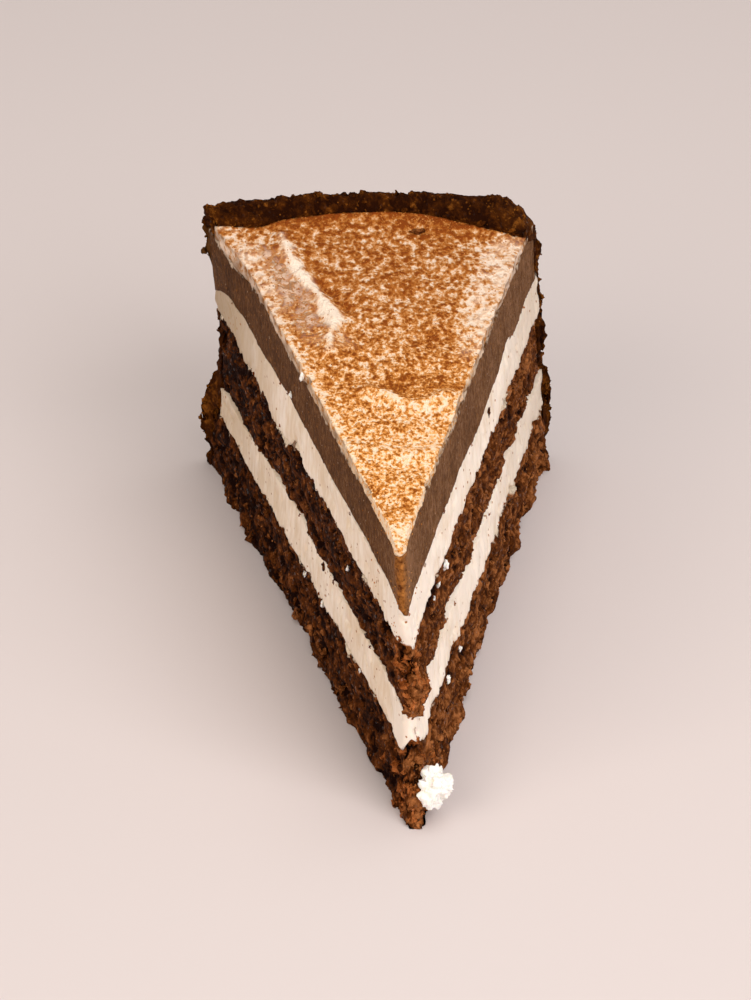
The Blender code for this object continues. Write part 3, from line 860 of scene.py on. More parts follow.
def cream_relief(spots):
    """Soft drag marks of a knife through cream, stronger on the right cut."""
    upright = spots * np.array((1.0, 1.0, 0.35))
    drag = grain(upright, DRAG, 71)
    fibres = grain(upright, FIBRE, 73)
    nicks = ease(0.6, 1.0, grain(spots, NICK, 72))
    strength = blend(0.6, 1.5, ease(-3 * MM, 4 * MM, spots[:, 0]))
    return (strength * (0.14 * drag + 0.08 * fibres) - 0.5 * nicks) * MM, 0.3 * drag - nicks


def mousse_relief(spots):
    """Fine upright scratches of a knife through mousse, and its torn tip."""
    scratch = grain(spots * np.array((1.0, 1.0, 0.3)), SCRATCH, 81)
    torn = lumps(spots, TORN_LUMP, 82) * ease(8 * MM, 5 * MM, spots[:, 1])
    return (0.06 * scratch + 0.35 * torn) * MM, 0.5 * scratch + torn


print("deepest air hole, mm:", max(hole[-1] for hole in HOLES))

# %% [markdown]
# ## Paint of the layers
#
# The knife pulls thin smears of cream down over the sponge. The creams get painted shade towards
# the round side, and the tip and the right cut catch more light. These are values on the mesh, and
# not more layers of mesh, because a smear is thinner than a face of the lattice.

# %% Smears and painted shade on the creams
ON_CUT = 0.99
CUT_SPAN = 40  # mm from the middle to each cut in the noise, so that the two cuts differ
SMEAR_PATCH, SMEAR_STREAK = 3.2 * MM, 0.8 * MM
# how much more light the tip of each layer catches, from the plate up
TIP_LIT = (1.2, 1.9, 0.8, 1.5, 1.5, 1.0)
# how much painted shade the back of a cream gets on the left cut, for the cream that differs
PAINTED_SHADE_ON_LEFT = {"cream_upper": 0.95}


def painted_back_shade(name, distance, across):
    """How much painted shade darkens the cream: most near the round side, on the left."""
    on_left = PAINTED_SHADE_ON_LEFT.get(name, 0.42)
    return ease(70 * MM, 125 * MM, distance) * blend(on_left, 0.38, (across + 1.0) / 2.0)


def smeared(seam, distance, across, low, up):
    """Thin smears of cream that the knife pulled down from the seam above a layer."""
    if seam == TOP_SEAM:
        return up * 0.0
    high = seam_height(seam + 1, distance, across)
    height = blend(low, high, up)
    spots = as_points(across * CUT_SPAN * MM, distance, height * 0.35)
    on_mousse = 0.8 + 2.0 * ease(60 * MM, 95 * MM, distance) * (across < 0.0)
    longest = on_mousse if seam == TOP_SEAM - 1 else 2.2
    reach_down = 0.2 + longest * ease(0.15, 0.9, grain(spots, SMEAR_PATCH, 51 + seam))
    streaks = 0.5 + 0.5 * grain(spots, SMEAR_STREAK, 52 + seam)
    covered = ease(0.08, 0.22, streaks * reach_down - (high - height) / MM)
    return covered * (np.abs(across) > ON_CUT) * ease(8 * MM, 15 * MM, distance)


def layer_paint(name, seam, distance, across, low, up, on_cut, tone):
    """Values painted on a layer: relief tone for painted shade and light, light, painted shade towards the
    round side, torn tip, smears and edges.
    """
    lit = ease(-0.4, 0.8, across) + TIP_LIT[seam] * bell(distance, 9 * MM) + 0.12 * (seam == 0)
    return {
        "relief": np.where(on_cut, tone, 0.0),
        "lit": lit - 0.5 * ease(60 * MM, 115 * MM, distance * -across),
        "painted_back_shade": painted_back_shade(name, distance, across),
        "torn": bell(distance + 0.3 * MM, 2.6 * MM) * (1.0 - 0.5 * ease(0.0, 1.0, across)),
        "smear": smeared(seam, distance, across, low, up),
        "edge": on_cut * np.maximum(ease(0.10, 0.0, up), ease(0.93, 1.0, up)),
    }


print("light at the tip of each layer:", TIP_LIT)

# %% [markdown]
# ## The layers
#
# Each lattice point is placed in the wedge, pushed by broad crags that run along the cut, and then
# by the fine relief of its food, on the cuts and the nose only, because nothing else shows. Noise
# could be left to a Displace modifier, but then the crags of a nose and of the cuts would not meet.

# %% Places of a layer
CRAG_RUN = 0.55
CALM_LEFT = 0.72
NOSE_SPAN = 2 * MM
NOSE_RELIEF = 1.3
# rise, place along the right cut and half width of a bulge beside the nose
NOSE_BULGES = {"sponge_middle": (1.6 * MM, 6 * MM, 6 * MM)}


def crags(name, distance, across, height, up, seed):
    """How far the broad crags of a layer push its cut faces out."""
    depth, size = LAYERS[name][-2:]
    spots = as_points(across * CUT_SPAN * MM, distance * CRAG_RUN, height)
    push = depth * ease(0.0, 12 * MM, distance + 2 * MM)
    push = push * (0.7 * grain(spots, size, seed) + 0.4 * grain(spots, size / 2, seed))
    push = push * blend(CALM_LEFT, 1.0, ease(-0.5, 0.5, across)) + lean(distance, across, height)
    if name in NOSE_BULGES:
        rise, place, half_width = NOSE_BULGES[name]
        push = push + rise * bell(distance - place, half_width) * np.maximum(0.0, across) * ease(1.0, 0.2, up)
    return push


def layer_points(name, along, across, up, seed, fine_relief):
    """Places of a layer's lattice points, with the values painted on each."""
    seam, foot_front, top_front, _, crag, crag_size = LAYERS[name]
    height = blend(nominal_height(seam), nominal_height(seam + 1), up)
    front = blend(foot_front, top_front, up) - meeting_point(height)[..., 1] + TIP_ROUNDING * across ** 2
    front = front + 0.5 * crag * grain(as_points(across * NOSE_SPAN, 0.0, height), crag_size, seed)
    distance = blend(front, reach(back_radius(name, across), across, height), along)
    push = crags(name, distance, across, height, up, seed)
    depth, tone = fine_relief(as_points(*plan_point(distance, across, height, push), height))
    on_nose = along < 0.001
    on_cut = (np.abs(across) > ON_CUT) | on_nose
    depth = np.where(on_cut, depth, 0.0)
    push = push + depth * ease(-6 * MM, 4 * MM, distance)
    distance = distance - np.where(on_nose, depth, 0.0) * NOSE_RELIEF
    x, y = plan_point(distance, across, height, push)
    low = seam_height(seam, distance, across)
    return x, y, low, distance, layer_paint(name, seam, distance, across, low, up, on_cut, tone)


def make_layer(name, finish, spacing, columns, fine_relief):
    """One lower layer of the slice, as one closed piece."""
    seam = LAYERS[name][0]
    thickness = nominal_height(seam + 1) - nominal_height(seam)
    shares, squares = lattice(round(CAKE_RADIUS / spacing), columns, round(thickness / spacing))
    along, across, up = shares
    across = across * 2.0 - 1.0
    x, y, low, distance, values = layer_points(name, along, across, up, seam, fine_relief)
    points = as_points(x, y, blend(low, seam_height(seam + 1, distance, across), up))
    return hand_over(finished(name + "_cut", points, squares, finish, values), [name])


print("crags run along the cut over, mm:", round(LAYERS["sponge_bottom"][-1] / CRAG_RUN / MM, 1))


# %% [markdown]
# The sponges get the finest lattice, because their crumbs are the smallest form that shows. The
# creams and the mousse are smoother and need fewer faces.

# %% Make the sponges, the creams and the mousse
SPONGE_STEP, CREAM_STEP, MOUSSE_STEP = 0.31 * MM, 0.36 * MM, 0.5 * MM
sponge_bottom = make_layer("sponge_bottom", sponge_dark, SPONGE_STEP, 10, sponge_relief)
cream_lower = make_layer("cream_lower", ivory_cream, CREAM_STEP, 8, cream_relief)
sponge_middle = make_layer("sponge_middle", sponge_dark, SPONGE_STEP, 10, sponge_relief)
cream_upper = make_layer("cream_upper", ivory_cream, CREAM_STEP, 8, cream_relief)
mousse = make_layer("mousse", coffee_mousse, MOUSSE_STEP, 8, mousse_relief)

# %% [markdown]
# ## The cream top
#
# A palette knife leaves folds in the cream: a long one on the left with a scraped hollow beside it,
# a curved one across the middle and a low one near the tip. A fold could be sculpted, or be a
# curve with a bevel. Here it is a rise in the height along a short line, because the cocoa can
# then follow the same line.

# %% Folds of the cream top
LONG_FOLD = (
    (-20.9, 115.5), (-19.5, 107.2), (-17.7, 102), (-14.1, 91.8), (-12, 86), (-11.6, 82), (-12.5, 76),
    (-12.8, 70.5))
CURVED_FOLD = ((-6, 56.5), (-2.3, 54), (1.5, 51.2), (5.1, 52.3), (8, 54.5))
LOW_FOLD = ((-9, 38), (0, 34), (5, 36))
FOLDS = (
    # line in plan in mm, rise and half width
    (LONG_FOLD, 0.9 * MM, 1.6 * MM),
    (CURVED_FOLD, 1.0 * MM, 1.7 * MM),
    (LOW_FOLD, 0.4 * MM, 2.0 * MM),
)
CREASE = ((-14.6, 98), (-11.4, 92.8), (-9, 87))
CREASE_DEPTH, CREASE_HALF = 0.5 * MM, 1.2 * MM
HOLLOW_LEFT = (np.array((-21 * MM, 94 * MM)), 0.7 * MM, 8 * MM)  # centre, depth and half width
PILE_AT_RIM = 0.9 * MM
PILE_START, PILE_END = CAKE_RADIUS - 16 * MM, CAKE_RADIUS - 4 * MM
SWELL_RISE, SWELL_PATCH = 0.3 * MM, 7 * MM


def distance_to_line(plan, line):
    """Distance of many plan points to a line of straight runs."""
    corners = np.array(line) * MM
    nearest = np.full(len(plan), np.inf)
    for start, end in zip(corners, corners[1:]):
        run = end - start
        share = np.clip(((plan - start) @ run) / (run @ run), 0.0, 1.0)
        gap = plan - start - share[:, None] * run
        nearest = np.minimum(nearest, np.hypot(gap[:, 0], gap[:, 1]))
    return nearest


def plan_grain(plan, size, seed):
    """Rolling noise over the plan, the same at every height."""
    return grain(as_points(plan[:, 0], plan[:, 1], 0.0), size, seed)


def fold_height(plan):
    """Relief of the cream top: folds, a scraped hollow and the cream piled at the rim."""
    height = np.zeros(len(plan))
    for line, rise, half_width in FOLDS:
        height += rise * bell(distance_to_line(plan, line), half_width)
    height -= CREASE_DEPTH * bell(distance_to_line(plan, CREASE), CREASE_HALF)
    centre, depth, half_width = HOLLOW_LEFT
    height -= depth * bell(np.hypot(*(plan - centre).T), half_width)
    height += PILE_AT_RIM * ease(PILE_START, PILE_END, np.hypot(*plan.T))
    return height + SWELL_RISE * plan_grain(plan, SWELL_PATCH, 11)


print("rise on the curved fold, mm:", (fold_height(np.array(CURVED_FOLD) * MM) / MM).round(2).tolist())

# %% [markdown]
# Cocoa is sifted evenly, and then the folds, the rim and the knife decide how much of it stays. It
# lies thick in the crease, behind the curved fold and against the rim. The steep sides of the folds
# and the wiped edges stay white. An image could hold all this, but a sum can be read and changed
# one term at a time. In these sums x and y are in mm, and each term adds or takes a share.

# %% Where the cream stays white and where a veil lies
EDGE_WHITE = {"right": 0.45, "left": 0.32}
VEIL_MOST = 0.60


def bare_share(plan):
    """Bare white side of the long fold, widest near its lower end."""
    y = plan[:, 1] / MM
    beside = distance_to_line(plan, LONG_FOLD) / MM + 0.7 * plan_grain(plan, 3.0 * MM, 96)
    width = 0.4 + 0.6 * bell(y - 103, 6) + 1.7 * bell(y - 84.5, 3.5)
    return ease(width + 0.9, width - 0.7, beside) * ease(68, 74, y)


def edge_share(plan, across):
    """White edges of the top, where the knife wiped the cocoa off."""
    y = plan[:, 1] / MM
    uneven = 0.5 + 0.9 * plan_grain(plan, 2.4 * MM, 97)
    right = ease(0.72, 0.86, across) * ease(64, 80, y) * ease(116, 108, y)
    left = ease(0.82, 0.95, -across) * ease(78, 92, y)
    return np.clip(uneven, 0.0, 1.0) * (EDGE_WHITE["right"] * right + EDGE_WHITE["left"] * left)


def veil_share(plan, across):
    """Thin film of powder in the scraped hollow on the left."""
    y = plan[:, 1] / MM
    bend_x, bend_y = LONG_FOLD[3]
    left_of_fold = ease(0.0, 2.5, bend_x - (y - bend_y) * 0.4 - plan[:, 0] / MM)
    patchy = 0.6 + 0.8 * plan_grain(plan, 2.2 * MM, 94)
    inside = ease(0.90, 0.80, -across) * ease(70, 84, y) * ease(113, 108, y)
    return VEIL_MOST * np.clip(patchy, 0.0, 1.2) * left_of_fold * inside


print("most white at the edges:", EDGE_WHITE, "and most veil:", VEIL_MOST)

# %% [markdown]
# The cocoa itself starts as an even share and is then thinned and heaped, first by the sieve, the
# rim and the folds, and then by the knife at the edges. A weight painted by hand would be quicker
# for one cake, but these sums still fit when a fold is moved.

# %% How much cocoa lies where
MM_IN_METRE = 1000.0
FRONT_OF_FOLD = np.array((0.0, 0.8 * MM))  # the fold's bare side lies this far in front of it


def sifted_share(plan, across, uneven):
    """Share of cocoa that the sieve, the rim and the folds leave on the top."""
    x, y = plan.T / MM
    # thicker towards the rim, on the right of the middle and in a pile behind the curved fold
    share = 0.36 + 0.14 * ease(48, 60, y) + 0.05 * ease(90, 115, y)
    share += 0.08 * bell(x - 4, 10) * ease(55, 80, y)
    share += 0.20 * bell(np.hypot((x - 1) / 1.8, y - 59), 4)
    # thick against the rim, but not in its left corner
    inside_rim = LAYERS["cream_top"][RADIUS_COLUMN] - back_radius("cream_top", across)
    to_rim = np.hypot(x, y) + MM_IN_METRE * inside_rim
    share += (0.12 * ease(112, 121, to_rim) + 0.28 * ease(119, 124, to_rim)) * ease(-0.92, -0.55, across)
    # bare on the side of the long fold, thick in the crease, thin on the curved and the low fold
    share -= 0.8 * bare_share(plan)
    share += 0.25 * bell(distance_to_line(plan, CREASE) / MM, 1.3)
    beside_fold = distance_to_line(plan + FRONT_OF_FOLD, CURVED_FOLD) / MM
    share -= 0.26 * bell(beside_fold, 1.1 + 0.5 * uneven) * ease(8, 3, np.abs(x - 0.5))
    share -= 0.10 * bell(distance_to_line(plan, LOW_FOLD) / MM, 2.0)
    return share


def dust_share(plan, across):
    """How much cocoa lies at each plan point, from 0 to 1."""
    x, y = plan.T / MM
    uneven = plan_grain(plan, 3 * MM, 95)
    share = sifted_share(plan, across, uneven)
    # a thick band behind the tip and a thin one at it
    share += 0.12 * bell(y - 20, 7)
    share -= 0.30 * bell(y - 9, 4)
    # thin along the left edge and in the left corner
    left_edge = blend(0.86, 0.78, ease(88, 108, y)) + 0.05 * uneven
    share -= 0.36 * ease(left_edge, left_edge + 0.12, -across)
    share -= 0.40 * bell(np.hypot(x + 24, y - 115) + uneven, 2.2)
    # thin along the right edge, less so near the rim
    right_edge = (0.30 + 0.12 * uneven) * ease(0.60, 0.86, across) * ease(62, 82, y)
    share -= right_edge * (1.0 - 0.5 * ease(112, 118, y))
    share -= 0.14 * ease(0.85, 1.0, across)
    # uneven everywhere, and a little thicker at the back on the left
    share += 0.12 * plan_grain(plan, 6 * MM, 93)
    share += 0.06 * ease(-0.25, -0.45, across) * ease(62, 80, y)
    return share


print("cocoa near the middle of the top:", dust_share(np.array(((0.0, 80 * MM),)), np.zeros(1)).round(2))

# %% [markdown]
# The top is one more layer of the wedge, with its upper face raised to the folds. Where cocoa lies
# it stands up in small clumps, and on the cuts the knife pulls it down a little over the cream.
# Clumps of mesh cost faces, but paint alone looks flat where light grazes the top.

# %% Make the cream top
CLUMP, FINE_CLUMP_BUMP, CLUMP_RISE = 1.3 * MM, 0.6 * MM, 0.16 * MM
TOP_SPAN = 58 * MM
TOP_STEP = 0.62 * MM
TOP_ROWS = 6
ON_TOP = 0.999
DRAG_RUN = 0.5


def top_points(along, across, up):
    """Places of the cream top's lattice points, with the values painted on each."""
    x, y, low, distance, values = layer_points("cream_top", along, across, up, TOP_SEAM, cream_relief)
    plan = np.stack((x, y), -1)
    surface = CREAM_SURFACE + fold_height(plan)
    dust = dust_share(plan, across)
    on_top = up > ON_TOP
    clumps = 0.55 * lumps(as_points(x, y, 0.0), CLUMP, 91) + 0.45 * plan_grain(plan, FINE_CLUMP_BUMP, 92)
    surface = surface + np.where(on_top, CLUMP_RISE * clumps * np.clip(dust * 1.6, 0.2, 1.0), 0.0)
    on_side = (0.45 + 0.5 * ease(62 * MM, 35 * MM, y)) * ease(0.1, 0.9, up)
    on_cut = (np.abs(across) > ON_CUT) & (up < 0.95)
    spots = as_points(across * CUT_SPAN * MM, distance * DRAG_RUN, low + up * 2 * MM)
    dragged = 0.42 + 0.45 * grain(spots, 1.6 * MM, 99)
    values.update(
        smear=np.clip(dragged, 0.0, 0.8) * on_cut * ease(12 * MM, 30 * MM, distance),
        dust=np.where(on_top, dust, dust * on_side),
        veil=veil_share(plan, across) * on_top,
        bare=(0.7 * bare_share(plan) + edge_share(plan, across)) * on_top,
        far=ease(30 * MM, 105 * MM, y))
    return as_points(x, y, blend(low, surface, up)), values


def make_top(spacing):
    """The cream top as one closed piece."""
    shares, squares = lattice(round(CAKE_RADIUS / spacing), round(TOP_SPAN / spacing), TOP_ROWS)
    along, across, up = shares
    points, values = top_points(along, across * 2.0 - 1.0, up)
    top = finished("cream_top_dusted", points, squares, dusted_cream, values)
    return hand_over(top, ["cream_top"])


cream_top = make_top(TOP_STEP)

# %% [markdown]
# ## The crumb coat
#
# Cake crumbs are pressed by hand on the round side while the cream is soft. They lie thick at the
# rim and round the lower cream, and thin where the upper cream pushes out. The coat is a curved
# wall whose inner face fits the layers and whose outer face is rough. Loose crumbs alone would
# need thousands of balls to close it, so most of the coat is one wall.

# %% Sizes of the crumb coat
COAT_LEAST = 0.6 * MM
COAT_CRAG = 0.8 * MM
COAT_GAP = 0.1 * MM
OUTER_INSET = 0.5 * MM
RIM_CREST = 0.9 * MM
CORNER_START = math.radians(11.3)
CORNER_WIDTH = 7.6 * MM
CORNER_DROP = 8.5 * MM
CORNER_LIMIT = 0.97
OUTER_DENTS = (
    # height, depth and half width of each hollow round the outside
    (29 * MM, 1.9 * MM, 6 * MM), (0.0, 1.0 * MM, 3 * MM), (45 * MM, 0.4 * MM, 6 * MM),
)
END_SWELLS = {
    # height, rise and half width of each swelling at the left end and at the right end
    -1: ((12 * MM, 2.4 * MM, 7 * MM), (57 * MM, 1.5 * MM, 10 * MM)),
    1: ((15 * MM, 1.4 * MM, 8 * MM), (30 * MM, 1.3 * MM, 5 * MM), (47 * MM, 0.9 * MM, 9 * MM)),
}
COVER_STEPS = (-2.0 * MM, -1.0 * MM, 0.0, 1.0 * MM, 2.0 * MM)
STEP_HALF = 0.5 * MM


def core_radius(height, across):
    """Radius of the layers behind the coat, with quick steps at the seams."""
    names = list(LAYERS)
    radius = back_radius(names[0], across) + 0.0 * height
    for below, above in zip(names, names[1:]):
        seam = nominal_height(LAYERS[above][0])
        step = back_radius(above, across) - back_radius(below, across)
        radius = radius + step * ease(seam - STEP_HALF, seam + STEP_HALF, height)
    return radius


def end_swell(across, height):
    """How far the crumbs at the two ends of the coat stand out of the cuts."""
    swell = np.zeros(height.shape)
    for side, bumps in END_SWELLS.items():
        for place, rise, half_width in bumps:
            swell += np.where(across * side > 0.0, rise * bell(height - place, half_width), 0.0)
    return swell * ease(0.7, 1.0, np.abs(across))


some_heights = np.array((5.0, 30.0, 50.0)) * MM
print("layers behind the coat end at, mm:", (core_radius(some_heights, 0.0) / MM).round(1))

# %% [markdown]
# The outer face keeps a least thickness over the layers, so that no cream shows through, and its
# top corner is rounded off at the right end. The same torn relief as the sponge's roughens it, but
# never deeper than the coat is thick.

# %% Make the crumb coat
COAT_COLUMNS = 9
COAT_SPAN = 70 * MM
COAT_STEP = 0.5 * MM
ON_SKIN = 0.999
UNDER_CREST = 0.5 * MM
END_RUFFLE = 0.6 * MM
SKIN_SINKS = 0.3 * MM
DEEPEST_IN_COAT = 0.35 * MM


def coat_walls(across, up):
    """Radius and height of the inner and the outer wall, and the least radius outside."""
    beyond = np.maximum(0.0, bearing(across, RIM_HEIGHT) - CORNER_START)
    round_share = np.minimum(beyond * CAKE_RADIUS / CORNER_WIDTH, CORNER_LIMIT)
    corner_drop = CORNER_DROP * (1.0 - np.sqrt(1.0 - round_share ** 2))
    inner_height = up * (CREAM_SURFACE + PILE_AT_RIM + UNDER_CREST)
    outer_height = up * (RIM_HEIGHT - corner_drop)
    spots = as_points(bearing(across, outer_height) * CAKE_RADIUS, 0.0, outer_height)
    dents = sum(dent * bell(outer_height - place, half) for place, dent, half in OUTER_DENTS)
    crag = COAT_CRAG * (0.7 * grain(spots, 5 * MM, 21) + 0.5 * grain(spots, 2.6 * MM, 22))
    covering = np.max([core_radius(outer_height + step, across) for step in COVER_STEPS], axis=0) + COAT_LEAST
    outer_radius = np.maximum(CAKE_RADIUS - OUTER_INSET - dents + crag, covering)
    inner_radius = core_radius(inner_height, across) + COAT_GAP
    return inner_radius, inner_height, outer_radius, outer_height, covering, spots


def coat_points(depth, across, up):
    """Places of the coat's lattice points, with the tone of each."""
    inner_radius, inner_height, outer_radius, outer_height, covering, spots = coat_walls(across, up)
    outside, on_crest, on_end = depth > ON_SKIN, up > ON_SKIN, np.abs(across) > ON_SKIN
    radius = blend(inner_radius, outer_radius, depth)
    height = blend(inner_height, outer_height, depth)
    crest = RIM_CREST * np.sin(math.pi * depth) + 0.5 * MM * grain(spots, 4 * MM, 23) * depth
    height = height + np.where(on_crest, crest, 0.0)
    ruffle = END_RUFFLE * depth * grain(as_points(radius, 0.0, height), 4 * MM, 24)
    push = ruffle + end_swell(across, height) * (0.35 + 0.65 * depth)
    distance = reach(radius, across, height)
    push = push + lean(distance, across, height)
    relief, tone = sponge_relief(as_points(*plan_point(distance, across, height, push), height))
    shown = outside | on_crest | on_end
    relief = np.where(shown, relief, 0.0)
    deepest = covering - DEEPEST_IN_COAT - radius
    distance = distance + np.where(outside, np.maximum(relief - SKIN_SINKS, deepest), 0.0)
    height = height + np.where(on_crest, relief * 0.8, 0.0)
    push = push + np.where(on_end, relief, 0.0)
    x, y = plan_point(distance, across, height, push)
    return as_points(x, y, np.maximum(height, 0.0)), np.where(shown, tone, 0.0)


def make_coat(spacing):
    """The crumb coat as one closed piece, with painted light at its left end and at its right end, and
    smeared mousse at its left end.
    """
    shares, squares = lattice(COAT_COLUMNS, round(COAT_SPAN / spacing), round(RIM_HEIGHT / spacing))
    depth, across, up = shares
    across = across * 2.0 - 1.0
    points, tone = coat_points(depth, across, up)
    height = points[:, 2]
    left_end = ease(0.8, 1.0, -across)
    # painted light: the left end of the coat is made lighter at two heights, as the right end is
    left_end_lit = left_end * (0.8 * ease(50 * MM, 57 * MM, height) + 1.6 * bell(height - 13 * MM, 7 * MM))
    streaks = 0.25 * grain(points, 2.0 * MM, 98)
    mousse_on = ease(0.3, 0.6, left_end * bell(height - 47 * MM, 6 * MM) + streaks) * left_end
    values = {"relief": tone, "lit": left_end_lit + 0.6 * ease(0.6, 1.0, across), "smear": mousse_on}
    coat = finished("crumb_coat", points, squares, crumb_dark, values)
    return hand_over(coat, ["crumb_rim"])


crumb_coat = make_coat(COAT_STEP)

# %% [markdown]
# ## The dab of cream
#
# A dab of the white cream was lifted by the knife and set down at the tip. It starts as a copy of
# its solid, is cut into small even faces, and gets crumbly lumps. A remesh would even it out too,
# but it would round off the broken edges.

# %% The dab
DAB_CUTS = 5
DAB_BLOCK, DAB_CRUMB = 1.7 * MM, 0.75 * MM
DAB_SWELL, DAB_FACES_OUT = 0.12, 0.75
DAB_SHARP = math.radians(40)


def dab_push(points, normals):
    """How far each point of the dab is pushed out, in mm: broken blocks, crumbs and lumps."""
    bent = warped(warped(points, 2.4 * MM, 0.7 * MM, 94), 0.8 * MM, 0.22 * MM, 98)
    blocks = np.array([noise.cell(Vector(p)) for p in bent / DAB_BLOCK])
    crumbs = np.array([noise.cell(Vector(p) + seed_shift(3)) for p in bent / DAB_CRUMB])
    torn = 0.9 * (blocks - 0.5) + 0.35 * (crumbs - 0.5)
    torn = torn + 0.25 * lumps(bent, 2.4 * MM, 95) + 0.1 * grain(points, 0.5 * MM, 97)
    return torn + DAB_SWELL + DAB_FACES_OUT * np.clip(-normals[:, 0], 0.0, 1.0)


def make_dab():
    """Broken-edged dab of white cream on the right cut near the tip."""
    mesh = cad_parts["cream_lump"].data.copy()
    shape = bmesh.new()
    shape.from_mesh(mesh)
    bmesh.ops.remove_doubles(shape, verts=shape.verts, dist=0.01 * MM)
    bmesh.ops.subdivide_edges(shape, edges=shape.edges, cuts=DAB_CUTS, use_grid_fill=True, smooth=0.4)
    bmesh.ops.triangulate(shape, faces=shape.faces)
    shape.normal_update()
    points = np.array([v.co for v in shape.verts])
    normals = np.array([v.normal for v in shape.verts])
    for vertex, place in zip(shape.verts, points + normals * (dab_push(points, normals) * MM)[:, None]):
        vertex.co = place
    bmesh.ops.smooth_vert(
        shape, verts=shape.verts, factor=0.5, use_axis_x=True, use_axis_y=True, use_axis_z=True)
    shape.to_mesh(mesh)
    shape.free()
    mesh.materials.clear()
    mesh.materials.append(white_cream)
    piece = new_piece("cream_dab", mesh)
    mesh.set_sharp_from_angle(angle=DAB_SHARP)
    return hand_over(piece, ["cream_lump"])


make_dab()

# %% [markdown]
# The knife also left bits of cream stuck to the sponge and a few crumbs stuck to the cream. Each
# is a small crumpled ball, pressed flat against the face it sticks to. They are set one by one and
# not scattered, because there are so few that the place of each shows.

# %% Bits of cream and stray crumbs
CREAM_BITS = (
    # plan x and y, height and length of each bit, in mm
    (-10.2, 36.6, 30.3, 1.2), (-14.3, 51.0, 13.1, 1.6), (-17.4, 62.4, 12.2, 1.3), (-8.2, 29.5, 13.1, 1.0),
    (10.3, 37.9, 11.8, 1.3), (7.6, 28.5, 11.6, 2.0), (-17.9, 63.5, 54.2, 1.5),
    (7.1, 34.5, 32.1, 1.9), (5.4, 29.0, 31.9, 1.5), (4.6, 26.0, 30.9, 1.0), (-19.7, 72.3, 45.3, 1.4),
)
STRAY_CRUMBS = (
    (-14.1, 51.0, 21.5, 1.9), (17.0, 75.1, 39.5, 2.0), (5.5, 116.9, 55.6, 2.6), (-12.4, 45.0, 22.0, 1.2),
)
TOP_FROM = 55
FLAT_ON_CUT = Matrix.Diagonal((0.5, 0.7, 1.0, 1.0))
FLAT_ON_TOP = Matrix.Diagonal((1.0, 0.6, 0.35, 1.0))


def make_bits(name, spots, finish, seed):
    """Small crumpled bits stuck to the cuts or the top, as one piece."""
    shape = bmesh.new()
    for number, (x, y, z, length) in enumerate(spots):
        centre = Vector((x * MM + MIDDLE[0], y * MM + MIDDLE[1], z * MM))
        flat = FLAT_ON_CUT if z < TOP_FROM else FLAT_ON_TOP
        ball = bmesh.ops.create_icosphere(shape, subdivisions=3, radius=length * MM / 2.0)["verts"]
        local = np.array([v.co for v in ball])
        crumple = 1.0 + 0.55 * grain(local, length * MM / 2.2, seed + number)
        crumple = crumple + 0.5 * lumps(local, length * MM / 3.0, seed)
        for vertex, rate in zip(ball, crumple):
            vertex.co = centre + flat @ (vertex.co * rate)
    mesh = bpy.data.meshes.new(name)
    shape.to_mesh(mesh)
    shape.free()
    mesh.materials.append(finish)
    return hand_over(new_piece(name, mesh), [])


make_bits("cream_bits", CREAM_BITS, white_cream, 300)
make_bits("stray_crumbs", STRAY_CRUMBS, sponge_dark, 320)

# %% [markdown]
# ## Loose crumbs and grains
#
# Crumbs on the cut faces, chunks on the coat and grains of cocoa on the top are one Geometry
# Nodes tree with different sizes. It drops points on the shown faces, puts a small ball on each,
# turns and scales it at random, and crumples the result with noise, so that no two are alike.
# Particles could do this too, but a tree says each step openly and ends in plain mesh.

# %% The scatter tree
SCATTER_INPUTS = (
    ("Per square metre", "Float"), ("Smallest", "Float"), ("Largest", "Float"), ("Sunk", "Float"),
    ("Ball steps", "Int"), ("Seed", "Int"), ("Finish", "Material"),
)
STRETCH = ((0.7, 0.7, 0.6), (1.3, 1.3, 1.1))
SHADES = (-0.2, 1.0)
RIPPLES_IN_BIT, CRUMPLE = 2.4, 1.5


